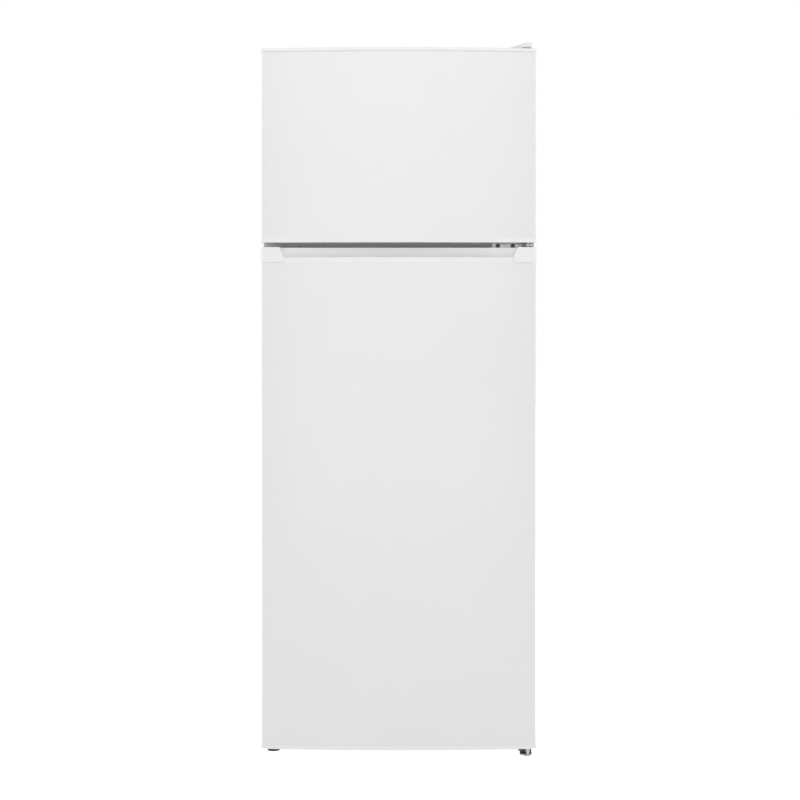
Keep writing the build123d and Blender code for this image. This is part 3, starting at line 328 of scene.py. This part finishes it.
# Inside of the recess: painted fill light, set much lighter than the caps to cancel the shade that the lip
# casts in it, so that it still reads as white.
POCKET_ABS_PAINTED_FILL = moulded_plastic("white_abs_recess_painted_fill", "#fbfcfb", "#f9faf9", 0.45, 0.9, 0.0003)
# Liners: a glossy cold white that mirrors the shelves faintly.
LINER_HIPS = moulded_plastic("formed_polystyrene_liner", "#c3c8ca", "#bfc4c6", 0.24, 3.0, 0.0002)
# Control housing and knob: two greys that part them from the liner.
CONTROL_ABS = moulded_plastic("grey_white_abs", "#b9bdbe", "#b4b8b9", 0.42, 0.9, 0.0003)
KNOB_ABS = moulded_plastic("knob_abs", "#a9afb4", "#a2a8ad", 0.36, 0.8, 0.0003)
# Blanking plugs: waxy and matt.
PLUG_PLASTIC = moulded_plastic("plug_polypropylene", "#a5a7a6", "#9d9f9e", 0.5, 1.0, 0.0003)
# Seals: a soft matt grey line round each door.
GASKET_PVC = moulded_plastic("soft_gasket_pvc", "#b4b6b7", "#adafb0", 0.58, 1.4, 0.0004)
# Feet and small black parts: dark, with just enough sheen to read as round.
BLACK_PLASTIC = moulded_plastic("black_polyamide", "#1b1b1c", "#242425", 0.5, 0.8, 0.0004)
BLACK_RUBBER = moulded_plastic("black_rubber", "#171717", "#222221", 0.7, 1.0, 0.0005)
# Rails between and under the doors: a flat grey-white.
GREY_RAIL = moulded_plastic("grey_painted_rail", "#b4b6b4", "#acaeac", 0.45, 1.4, 0.0003)
# Bins and drawer: see-through with a cool edge, and slow waves that bend what lies behind.
BIN_CLEAR = clear_plastic("clear_polystyrene_bin", "#e9f1f5", 0.10, 25.0, 0.06)
DRAWER_CLEAR = clear_plastic("clear_polystyrene_drawer", "#dfeaf0", 0.10, 60.0, 0.03)
# Lamp lens: frosted, so that it glows evenly.
LAMP_FROST = clear_plastic("frosted_lamp_lens", "#f4f5f0", 0.45, 4.0, 0.12)
# Shelves: nearly invisible from above, green along their edges.
SHELF_GLASS = tempered_glass()
# Insulation: a dull yellow that shows only where a piece is taken off.
PU_FOAM = rigid_foam()
# Pipes: warm and cool drawn metal in the dark machine bay.
COPPER = galvanised_steel("drawn_copper", "#c98a68", "#b06f4e", 8.0, 0.25, 0.4)
ALUMINIUM = galvanised_steel("drawn_aluminium", "#cfd2d4", "#babec1", 8.0, 0.3, 0.42)
print("finishes:", len(bpy.data.materials))

# %% [markdown]
# ## Finishes on the engineering pieces
# Every piece of the frame gets the finish that its real counterpart has. Many of these pieces stay
# as they are, because a bent sheet or a rod needs nothing more; the others are modelled again below.

# %% Dress the frame
FINISHES = {
    "painted_steel": DOOR_STEEL, "cabinet_steel": SIDE_STEEL, "cap_plastic": CAP_ABS,
    "liner_plastic": LINER_HIPS, "bin_plastic": BIN_CLEAR, "crisper_plastic": DRAWER_CLEAR,
    "control_plastic": CONTROL_ABS, "knob_plastic": KNOB_ABS, "foam": PU_FOAM, "gasket": GASKET_PVC,
    "zinc_steel": ZINC_STEEL, "grey_rail": GREY_RAIL, "black_paint": CONDENSER_BLACK,
    "black_plastic": BLACK_PLASTIC, "black_rubber": BLACK_RUBBER,
    "compressor_paint": COMPRESSOR_BLACK, "copper": COPPER, "aluminium_tube": ALUMINIUM,
    "shelf_glass": SHELF_GLASS, "lamp_lens": LAMP_FROST, "pale_plastic": PLUG_PLASTIC,
}
slot_of = {part["node"]: part["material_slot"] for part in frame["record"]["subparts"]}


def wear(piece, material):
    """Gives a piece one material and takes any other away."""
    piece.data.materials.clear()
    piece.data.materials.append(material)


for node_name, piece in frame["nodes"].items():
    wear(piece, FINISHES[slot_of[node_name]])
wear(frame["nodes"]["rear_panel"], BACK_STEEL)
wear(frame["nodes"]["hinge_screws"], SCREW_STEEL)
# The bottom bracket's darker flange is painted shade, not a finish of its own.
wear(frame["nodes"]["bottom_hinge_bracket"], BRACKET_STEEL_PAINTED_SHADE)
print("dressed:", len(slot_of), "pieces")

# %% [markdown]
# ## Modelling tools
# The pieces that show from the front are modelled again here, starting each time from a primitive
# and working on selected faces and edges. A few short functions keep those steps readable: one opens
# a primitive in edit mode, one selects by place, and one closes the piece and says what it stands
# for in the frame.


# %% Modelling tools
SMOOTH_UP_TO = math.radians(32)  # sharper edges than this stay crisp
ROUND_FROM = math.radians(40)  # moulded edges sharper than this are rounded


def open_primitive(name, kind):
    """Adds a unit primitive at the origin and opens it in edit mode, all selected."""
    leave_edit()
    add = {"box": bpy.ops.mesh.primitive_cube_add, "plane": bpy.ops.mesh.primitive_plane_add}
    add[kind](size=1)
    piece = bpy.context.object
    piece.name = name
    bpy.ops.object.mode_set(mode="EDIT")
    bpy.ops.mesh.select_all(action="SELECT")
    return piece


def place_all(low, high):
    """Stretches the unit primitive between two corners. The object itself stays at the origin."""
    bpy.ops.transform.resize(value=tuple(b - a for a, b in zip(low, high)), center_override=(0, 0, 0))
    bpy.ops.transform.translate(value=tuple((a + b) / 2 for a, b in zip(low, high)))


def pick(piece, kind, test):
    """Selects the faces, edges or verts of the open piece whose middle passes a test."""
    bpy.ops.mesh.select_mode(type={"verts": "VERT", "edges": "EDGE", "faces": "FACE"}[kind])
    bpy.ops.mesh.select_all(action="DESELECT")
    mesh = bmesh.from_edit_mesh(piece.data)
    for item in getattr(mesh, kind):
        corners = [item.co] if kind == "verts" else [v.co for v in item.verts]
        middle = sum(corners, Vector()) / len(corners)
        direction = item.normal if kind == "faces" else corners[-1] - corners[0]
        item.select = bool(test(middle, direction))
    mesh.select_flush_mode()
    bmesh.update_edit_mesh(piece.data)
    return sum(item.select for item in getattr(mesh, kind))


def push(x=0.0, y=0.0, z=0.0):
    """Extrudes what is selected along one direction."""
    bpy.ops.mesh.extrude_region_move(TRANSFORM_OT_translate={"value": (x, y, z)})


def leave_edit():
    """Back to object mode, with nothing selected."""
    if bpy.context.object and bpy.context.object.mode == "EDIT":
        bpy.ops.object.mode_set(mode="OBJECT")
    bpy.ops.object.select_all(action="DESELECT")


def modify(piece, kind, **settings):
    """Adds a modifier, sets it and applies it."""
    leave_edit()
    modifier = piece.modifiers.new(kind.lower(), kind)
    for key, value in settings.items():
        setattr(modifier, key, value)
    bpy.context.view_layer.objects.active = piece
    bpy.ops.object.modifier_apply(modifier=modifier.name)


def combine(piece, tool, operation="DIFFERENCE"):
    """Cuts one closed piece out of another, or merges the two, and removes the tool."""
    modify(piece, "BOOLEAN", object=tool, operation=operation, solver="EXACT")
    bpy.data.objects.remove(tool)


def round_tool(centre, radius, low, high):
    """A closed cylinder that cuts a bore along Z."""
    leave_edit()
    bpy.ops.mesh.primitive_cylinder_add(vertices=48, radius=radius, depth=high - low,
                                        location=(*centre, (low + high) / 2))
    tool = bpy.context.object
    tool.name = "bore_tool"
    bpy.ops.object.transform_apply(location=True)
    return tool


def reopen(piece):
    """Opens a finished piece in edit mode again."""
    leave_edit()
    bpy.context.view_layer.objects.active = piece
    piece.select_set(True)
    bpy.ops.object.mode_set(mode="EDIT")


def close_piece(piece, material, body, slot, *nodes):
    """Outward normals, smooth shading up to an angle, one finish, and its place in the frame."""
    reopen(piece)
    bpy.ops.mesh.select_all(action="SELECT")
    bpy.ops.mesh.normals_make_consistent(inside=False)
    bpy.ops.object.mode_set(mode="OBJECT")
    bpy.ops.object.shade_smooth_by_angle(angle=SMOOTH_UP_TO)
    if not piece.data.materials:
        wear(piece, material)
    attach(piece, body)
    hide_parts(*nodes)
    print(piece.name, "faces:", len(piece.data.polygons), "stands for", nodes)


# %% [markdown]
# ## The bowed doors
# A door's front is one sheet of coated steel, bent to a very large radius across its width and
# round small radii into its sides. Seen from above, all the pieces of a door share that outline, so
# one function draws it: a flat side, the front spun about the bow's centre, and the other side.

# %% The outline that every piece of a door shares
HALF_DOOR = 0.275
DOOR_EDGE_Y = -0.251  # where the bow meets the sides
DOOR_LINER_Y = -0.214  # the back of the coated sheet
BOW = DOOR_CROWN
EDGE_RADIUS = 0.006
SHEET = 0.0008
CAP_WALL = 0.0025
SKIN_INSET = 0.0014  # the end caps stand this far proud of the sheet
MOULD_ROUND = 0.0009  # the small round on every moulded edge


def bowed_wall(name, inset, low, high, back=DOOR_LINER_Y, radius=EDGE_RADIUS):
    """An upright wall round the sides and the bowed front of a door, open behind."""
    side = HALF_DOOR - inset
    edge = DOOR_EDGE_Y + inset
    bow_radius = (side ** 2 + BOW ** 2) / (2 * BOW)
    sweep = 2 * math.asin(side / bow_radius)
    wall = open_primitive(name, "plane")
    bpy.ops.transform.rotate(value=math.pi / 2, orient_axis="Y", center_override=(0, 0, 0))
    place_all((-side - 0.5, edge, low), (-side + 0.5, back, high))
    pick(wall, "edges", lambda m, d: m.y < edge + 1e-5)
    bpy.ops.mesh.spin(steps=48, angle=-sweep, center=(0, edge - BOW + bow_radius, 0), axis=(0, 0, 1))
    pick(wall, "edges", lambda m, d: m.x > side - 1e-5)
    push(y=back - edge)
    pick(wall, "verts", lambda m, d: True)
    bpy.ops.mesh.remove_doubles(threshold=1e-6)
    if radius > inset:
        pick(wall, "edges", lambda m, d: abs(d.z) > 1e-4 and abs(m.y - edge) < 1e-5)
        bpy.ops.mesh.bevel(offset=radius - inset, segments=8)
    return wall


test_wall = bowed_wall("outline_test", 0.0, 0.0, 0.01)
leave_edit()
corners = [v.co for v in test_wall.data.vertices]
print("outline x:", round(min(c.x for c in corners), 4), round(max(c.x for c in corners), 4),
      "y:", round(min(c.y for c in corners), 4), round(max(c.y for c in corners), 4))
bpy.data.objects.remove(test_wall)

# %% [markdown]
# ### The painted skins
# After the front and sides are bent, the back edges are turned in by twelve millimetres, so that
# the liner can be clipped over them. A Solidify modifier gives the sheet its real thickness, which
# is what shows as a fine edge where it meets the end caps.

# %% Door skins
SKIN_RETURN = 0.012
RETURN_ROUND = 0.0012
skins = {"freezer_door_skin": ("freezer_door", 1.0427, 1.4125),
         "fridge_door_skin": ("fridge_door", 0.0325, 0.992)}
for node, (body, low_z, high_z) in skins.items():
    skin = bowed_wall("bent_" + node, SKIN_INSET, low_z, high_z)
    skin_side = HALF_DOOR - SKIN_INSET
    for sign in (-1, 1):
        pick(skin, "edges", lambda m, d: m.y > DOOR_LINER_Y - 1e-5 and abs(m.x - sign * skin_side) < 1e-5)
        push(x=-sign * SKIN_RETURN)
    pick(skin, "edges", lambda m, d: abs(d.z) > 1e-4 and abs(abs(m.x) - skin_side) < 1e-5
         and m.y > DOOR_LINER_Y - 1e-5)
    bpy.ops.mesh.bevel(offset=RETURN_ROUND, segments=3)
    pick(skin, "faces", lambda m, d: True)
    bpy.ops.mesh.normals_make_consistent(inside=False)
    if pick(skin, "faces", lambda m, d: abs(m.x) < 0.05 and d.y > 0):
        pick(skin, "faces", lambda m, d: True)
        bpy.ops.mesh.flip_normals()
    modify(skin, "SOLIDIFY", thickness=SHEET, offset=-1.0)
    close_piece(skin, DOOR_STEEL, body, "painted_steel", node)

# %% [markdown]
# ### The end caps
# Each end of a door is closed by a moulded tray that stands a little proud of the sheet. A sloping
# band leads from the sheet out to the cap's widest line and catches the light; the far rim is
# rounded. The tray is drawn as a slab whose inner face is inset, raised and then sunk again.


# %% End caps
def solid_slab(name, inset, low, high, back=DOOR_LINER_Y, half=None):
    """The shared outline as a closed slab, cut off square at a half width if one is given."""
    slab = bowed_wall(name, inset, low, high, back)
    pick(slab, "edges", lambda m, d: abs(d.z) > 1e-4 and m.y > back - 1e-5)
    bpy.ops.mesh.edge_face_add()
    for level in (low, high):
        pick(slab, "edges", lambda m, d: abs(m.z - level) < 1e-6 and abs(d.z) < 1e-6)
        bpy.ops.mesh.edge_face_add()
    for sign in (-1, 1) if half else ():
        bpy.ops.mesh.select_all(action="SELECT")
        bpy.ops.mesh.bisect(plane_co=(sign * half, 0, 0), plane_no=(sign, 0, 0),
                            use_fill=True, clear_outer=True)
    bpy.ops.mesh.select_all(action="SELECT")
    bpy.ops.mesh.normals_make_consistent(inside=False)
    return slab


def tray_cap(name, low, high, band, rim, skin_above):
    """A cap's slab with its sloping band towards the sheet, hollowed from the same side."""
    flat = (low, high - band) if skin_above else (low + band, high)
    cap = solid_slab(name, 0.0, *flat)
    outer, inner = (flat[0], flat[1]) if skin_above else (flat[1], flat[0])
    way = 1 if skin_above else -1
    pick(cap, "faces", lambda m, d: abs(m.z - inner) < 1e-6 and abs(d.z) > 0.9)
    bpy.ops.mesh.inset(thickness=SKIN_INSET, depth=band)
    pick(cap, "faces", lambda m, d: abs(m.z - inner - way * band) < 1e-6 and abs(d.z) > 0.9)
    bpy.ops.mesh.inset(thickness=SHEET + CAP_WALL, depth=0)
    push(z=-way * (high - low - CAP_WALL))
    pick(cap, "edges", lambda m, d: abs(m.z - outer) < 1e-6 and abs(d.z) < 1e-6)
    bpy.ops.mesh.bevel(offset=rim, segments=4)
    return cap


PIN = (0.258, -0.232)
PIN_BORE = 0.0032
caps = {"freezer_door_top_cap": ("freezer_door", 1.4125, 1.4194, 0.0006, 0.0018, False),
        "freezer_door_bottom_cap": ("freezer_door", 1.032, 1.0427, 0.0036, 0.0015, True),
        "fridge_door_bottom_cap": ("fridge_door", 0.023, 0.0325, 0.0030, 0.0026, True)}
for node, (body, low_z, high_z, band, rim, skin_above) in caps.items():
    cap = tray_cap("moulded_" + node, low_z, high_z, band, rim, skin_above)
    combine(cap, round_tool(PIN, PIN_BORE, low_z - 0.01, high_z + 0.01))
    close_piece(cap, CAP_ABS, body, "cap_plastic", node)

# %% [markdown]
# ### The handle cap
# The lower door has no handle on it: the fingers reach over a lip into a recess along its top. The
# cap starts as the same slab, a tub is merged under it, and then three tools are taken out of it:
# the recess behind the lip, the mouth with its sloping ends, and a thin slice in front of the lip
# that leaves the two wings standing a little proud.

# %% Handle cap
CAP_LOW, CAP_HIGH = 0.992, 1.023
LIP_TOP = 1.0024
RECESS_FLOOR = 0.9864
RECESS_BACK = -0.225
POCKET_FRONT_Y = -0.244  # faces behind this line belong to the recess
RECESS_LOW_X, RECESS_TOP_X = 0.229, 0.238
LIP = 0.006
WING_STEP = 0.0012
OVER = 0.006  # how far the tools run past the cap
HANDLE_BAND = 0.0012  # height of the sloping band down to the sheet
TUB_INSET = 0.0022  # keeps the tub inside the sheet
FLOOR_ROUND = 0.004

handle = solid_slab("moulded_handle_cap", 0.0, CAP_LOW + HANDLE_BAND, CAP_HIGH)
pick(handle, "faces", lambda m, d: abs(m.z - CAP_LOW - HANDLE_BAND) < 1e-6 and abs(d.z) > 0.9)
bpy.ops.mesh.inset(thickness=SKIN_INSET, depth=HANDLE_BAND)
tub = solid_slab("handle_tub", TUB_INSET, RECESS_FLOOR - CAP_WALL, CAP_LOW + 0.002,
                 RECESS_BACK + CAP_WALL, RECESS_LOW_X + CAP_WALL)
combine(handle, tub, "UNION")
recess = solid_slab("recess_tool", LIP, RECESS_FLOOR, CAP_HIGH + OVER, RECESS_BACK, RECESS_LOW_X)
pick(recess, "edges", lambda m, d: abs(m.z - RECESS_FLOOR) < 1e-6 and abs(d.z) < 1e-6)
bpy.ops.mesh.bevel(offset=FLOOR_ROUND, segments=4)
combine(handle, recess)
mouth = open_primitive("mouth_tool", "box")
place_all((-RECESS_LOW_X, DOOR_EDGE_Y - BOW - OVER, LIP_TOP),
          (RECESS_LOW_X, RECESS_BACK, CAP_HIGH + OVER))
slope = (RECESS_TOP_X - RECESS_LOW_X) / (CAP_HIGH - LIP_TOP)
top_x = RECESS_LOW_X + slope * (CAP_HIGH + OVER - LIP_TOP)
pick(mouth, "verts", lambda m, d: m.z > CAP_HIGH)
bpy.ops.transform.resize(value=(top_x / RECESS_LOW_X, 1, 1), center_override=(0, 0, 0))
combine(handle, mouth)
slice_tool = solid_slab("lip_slice_tool", -0.003, CAP_LOW - OVER, LIP_TOP, -0.236, RECESS_LOW_X)
keep = solid_slab("lip_keep_tool", WING_STEP, CAP_LOW - 2 * OVER, LIP_TOP + OVER, -0.226)
combine(slice_tool, keep)
combine(handle, slice_tool)
combine(handle, round_tool(PIN, PIN_BORE, CAP_LOW - 0.01, CAP_HIGH + 0.01))
modify(handle, "BEVEL", width=MOULD_ROUND, segments=3, limit_method="ANGLE", angle_limit=ROUND_FROM)
wear(handle, CAP_ABS)
# The recess faces get the painted fill light, a lighter white that offsets the shade under the lip.
handle.data.materials.append(POCKET_ABS_PAINTED_FILL)
reopen(handle)
inside = pick(handle, "faces", lambda m, d: abs(m.x) < RECESS_TOP_X - 0.002
              and POCKET_FRONT_Y < m.y < RECESS_BACK + 0.001
              and RECESS_FLOOR - 0.001 < m.z < CAP_HIGH - 0.0005)
handle.active_material_index = 1
bpy.ops.object.material_slot_assign()
close_piece(handle, CAP_ABS, "fridge_door", "cap_plastic", "handle_cap")
print("faces in the recess:", inside)

# %% [markdown]
# ### The hinge cover
# A hollow moulding hides the top hinge. Its inner side slopes down to the cabinet's top, and its
# front part floats just above the door's cap, so that the door can swing under it. A box gets its
# slope and its raised front, loses its floor and is given a wall; its rim is then trimmed level, and
# three vent notches are cut low in its front. The last steps close the one sliver that the cuts
# leave open.

# %% Hinge cover
COVER_LOW, COVER_HIGH = (0.217, -0.244, 1.418), (0.2667, -0.112, 1.4325)
COVER_SLOPE = 0.0375
COVER_FRONT_BASE = 1.4198
COVER_WALL = 0.0016
COVER_ROUND = 0.0012
OUTER_CORNER_X = 0.260  # only the upright front corner beyond this is rounded
CABINET_FRONT = -0.201
SLOTS = 3
SLOT_START, SLOT_WIDTH, SLOT_PITCH, SLOT_RISE = 0.2471, 0.0045, 0.0057, 0.0023
cover = open_primitive("moulded_hinge_cover", "box")
place_all(COVER_LOW, COVER_HIGH)
pick(cover, "verts", lambda m, d: m.x < COVER_LOW[0] + 1e-5 and m.z > COVER_HIGH[2] - 1e-5)
bpy.ops.transform.translate(value=(COVER_SLOPE, 0, 0))
bpy.ops.mesh.select_all(action="SELECT")
bpy.ops.mesh.bisect(plane_co=(0, CABINET_FRONT, 0), plane_no=(0, 1, 0))
pick(cover, "verts", lambda m, d: m.y < CABINET_FRONT - 1e-4 and m.z < COVER_LOW[2] + 1e-4)
bpy.ops.transform.translate(value=(0, 0, COVER_FRONT_BASE - COVER_LOW[2]))
pick(cover, "faces", lambda m, d: d.z < -0.9)
bpy.ops.mesh.delete(type="FACE")
pick(cover, "edges", lambda m, d: m.z > COVER_HIGH[2] - 1e-5
     or (m.y < COVER_LOW[1] + 1e-5 and abs(d.z) > 0.001 and m.x > OUTER_CORNER_X))
bpy.ops.mesh.bevel(offset=COVER_ROUND, segments=4)
bpy.ops.mesh.select_all(action="SELECT")
bpy.ops.mesh.normals_make_consistent(inside=False)
modify(cover, "SOLIDIFY", thickness=COVER_WALL, offset=-1.0)
level = open_primitive("base_trim_tool", "box")
place_all((COVER_LOW[0] - 0.01, COVER_LOW[1] - 0.01, COVER_LOW[2] - 0.01),
          (COVER_HIGH[0] + 0.01, COVER_HIGH[1] + 0.01, COVER_LOW[2]))
combine(cover, level)
for n in range(SLOTS):
    slot_low = SLOT_START + n * SLOT_PITCH
    notch = open_primitive("notch_tool", "box")
    place_all((slot_low, COVER_LOW[1] - 0.004, COVER_LOW[2]),
              (slot_low + SLOT_WIDTH, COVER_LOW[1] + 0.006, COVER_FRONT_BASE + SLOT_RISE))
    combine(cover, notch)
reopen(cover)
bpy.ops.mesh.select_mode(type="EDGE")
bpy.ops.mesh.select_all(action="DESELECT")
bpy.ops.mesh.select_non_manifold()
bpy.ops.mesh.fill_holes(sides=3)
close_piece(cover, CAP_ABS, "cabinet", "cap_plastic", "top_hinge_cover")

# %% [markdown]
# ### The door seals
# A seal is one soft extrusion mitred at the corners: a foot that clips into the liner, a narrow
# bellows that lets it stretch, and a head that hides the magnet. A flat frame is made by insetting
# one face, and the profile is then built up in three steps out of it.

# %% Door seals
SEAL_SIDE = 0.250
SEAL_WIDTH = 0.014
SEAL_CLEAR = 0.0002  # ahead of the liner, so that the faces don't flicker
SEAL_BASE = DOOR_LINER_Y + SEAL_CLEAR
SEAL_STEPS = (0.0028, 0.0030, 0.0044)  # foot, bellows and head, adding up to less than the gap
WAIST = 0.0032  # how far the bellows is narrower than the foot, on each side
HEAD_OVER = 0.0028  # how far the head stands out over the bellows
seals = {"freezer_door_gasket": ("freezer_door", 1.036, 1.398),
         "fridge_door_gasket": ("fridge_door", 0.078, 1.019)}
for node, (body, low_z, high_z) in seals.items():
    seal = open_primitive("soft_" + node, "plane")
    bpy.ops.transform.rotate(value=math.pi / 2, orient_axis="X", center_override=(0, 0, 0))
    place_all((-SEAL_SIDE, SEAL_BASE - 0.5, low_z), (SEAL_SIDE, SEAL_BASE + 0.5, high_z))
    bpy.ops.mesh.inset(thickness=SEAL_WIDTH, depth=0)
    bpy.ops.mesh.delete(type="FACE")
    pick(seal, "faces", lambda m, d: True)
    push(y=SEAL_STEPS[0])
    bpy.ops.mesh.inset(thickness=WAIST, depth=0)
    push(y=SEAL_STEPS[1])
    bpy.ops.mesh.inset(thickness=HEAD_OVER, depth=0, use_outset=True)
    push(y=SEAL_STEPS[2])
    pick(seal, "edges", lambda m, d: abs(m.y - SEAL_BASE) < 1e-6 and abs(d.y) < 1e-6)
    bpy.ops.mesh.bridge_edge_loops()
    modify(seal, "BEVEL", width=MOULD_ROUND, segments=3, limit_method="ANGLE", angle_limit=ROUND_FROM)
    close_piece(seal, GASKET_PVC, body, "gasket", node)

# %% [markdown]
# ## Trays in the doors
# The bins are thin clear mouldings with rounded corners and a thickened rim, hung between the sides
# of each door's raised frame. One recipe serves all five: a box without its lid, its corners
# rounded, two grip ridges raised across its front, and a wall's thickness given to the sheet.


# %% Door bins
BIN_WALL = 0.0022
BIN_CORNER = 0.016
BIN_FLOOR_ROUND = 0.005
RIDGE_EDGES = (0.62, 0.68, 0.78, 0.84)  # shares of a bin's height
RIDGE_MIDDLES = (0.65, 0.81)
RIDGE_RISE = 0.0012


def clear_bin(name, low, high):
    """An open tray with rounded corners, a rim and two ridges across its front."""
    tray = open_primitive(name, "box")
    place_all(low, high)
    pick(tray, "faces", lambda m, d: d.z > 0.9)
    bpy.ops.mesh.delete(type="FACE")
    pick(tray, "edges", lambda m, d: abs(d.z) > 1e-4 and m.y > high[1] - 1e-5)
    bpy.ops.mesh.bevel(offset=BIN_CORNER, segments=8)
    pick(tray, "edges", lambda m, d: abs(m.z - low[2]) < 1e-5)
    bpy.ops.mesh.bevel(offset=BIN_FLOOR_ROUND, segments=4)
    tall = high[2] - low[2]
    for share in RIDGE_EDGES:
        bpy.ops.mesh.select_all(action="SELECT")
        bpy.ops.mesh.bisect(plane_co=(0, 0, low[2] + share * tall), plane_no=(0, 0, 1))
    for share in RIDGE_MIDDLES:
        pick(tray, "faces", lambda m, d: abs(m.z - low[2] - share * tall) < 0.012 * tall and d.y > 0.5)
        bpy.ops.mesh.extrude_region_shrink_fatten(TRANSFORM_OT_shrink_fatten={"value": -RIDGE_RISE})
    bpy.ops.mesh.select_all(action="SELECT")
    bpy.ops.mesh.normals_make_consistent(inside=False)
    modify(tray, "SOLIDIFY", thickness=BIN_WALL, offset=-1.0)
    return tray


def joined(pieces, name):
    """Several pieces as one mesh."""
    leave_edit()
    for piece in pieces:
        piece.select_set(True)
    bpy.context.view_layer.objects.active = pieces[0]
    bpy.ops.object.join()
    pieces[0].name = name
    return pieces[0]


BIN_HALF = 0.202
BIN_BACK = DOOR_LINER_Y + 0.002
bins = {"freezer_door_bins": ("freezer_door", -0.148, ((1.094, 1.156), (1.234, 1.296))),
        "fridge_door_bins": ("fridge_door", -0.122, ((0.500, 0.575), (0.740, 0.815))),
        "fridge_bottle_bin": ("fridge_door", -0.122, ((0.128, 0.248),))}
for node, (body, front_y, levels) in bins.items():
    trays = [clear_bin(f"tray_{n}", (-BIN_HALF, BIN_BACK, low_z), (BIN_HALF, front_y, high_z))
             for n, (low_z, high_z) in enumerate(levels)]
    close_piece(joined(trays, "clear_" + node), BIN_CLEAR, body, "bin_plastic", node)

# %% [markdown]
# ## Floor and light
# The object stands on a lit white table inside a light tent, as catalogue objects do. The table
# gives off its own light, so it stays one even white with no dark patch under the object, and the
# white surround fills every side. One broad panel high in front makes the upper door a shade
# brighter than the foot of the lower one, and a weaker one on each side keeps the edges readable.

# %% Floor, surround and panels
FLOOR_SIZE = 60.0
TABLE_GLOW = 0.85  # enough to bring the lit table to full white
bpy.ops.object.select_all(action="DESELECT")
bpy.ops.mesh.primitive_plane_add(size=FLOOR_SIZE, location=(0, 0, 0))
floor = bpy.context.object
floor.name = "studio_floor"
floor_paint, floor_tree, floor_shader, floor_place = start_material("pale_studio_floor", "#fbfbfb", 0.6)
mottle = add_node(floor_tree, "ShaderNodeTexNoise", [("Vector", floor_place)], scale=3.0, detail=2.0)
two_tones(floor_tree, floor_shader, mottle.outputs["Fac"], "#c4c4c4", "#c0c0c0")
floor_shader.inputs["Emission Color"].default_value = colour("#ffffff")
floor_shader.inputs["Emission Strength"].default_value = TABLE_GLOW
wear(floor, floor_paint)

world = bpy.data.worlds.new("white_surround")
scene.world = world
world.use_nodes = True
surround = world.node_tree.nodes["Background"]
surround.inputs["Color"].default_value = (1.0, 1.0, 1.0, 1.0)
surround.inputs["Strength"].default_value = 1.0


def soft_panel(name, place, aim, width, height, watts):
    """A rectangular area light at a place, turned to face a point."""
    data = bpy.data.lights.new(name, "AREA")
    data.shape = "RECTANGLE"
    data.size = width
    data.size_y = height
    data.energy = watts
    light = bpy.data.objects.new(name, data)
    scene.collection.objects.link(light)
    light.location = place
    light.rotation_euler = (Vector(aim) - Vector(place)).to_track_quat("-Z", "Y").to_euler()


soft_panel("overhead_panel", (0.0, -1.4, 2.5), (0.0, -0.27, 1.2), 2.6, 0.7, 14)
soft_panel("front_panel", (0.0, -6.2, 1.3), (0.0, 0.0, 1.0), 4.0, 3.0, 54)
soft_panel("left_panel", (-3.6, -0.6, 1.6), (0.0, 0.0, 0.9), 2.0, 2.4, 26)
soft_panel("right_panel", (3.6, -0.6, 1.6), (0.0, 0.0, 0.9), 2.0, 2.4, 26)
soft_panel("back_light_panel", (0.0, 4.0, 1.8), (0.0, 0.0, 0.9), 3.0, 2.4, 60)
scene.view_settings.view_transform = "Standard"
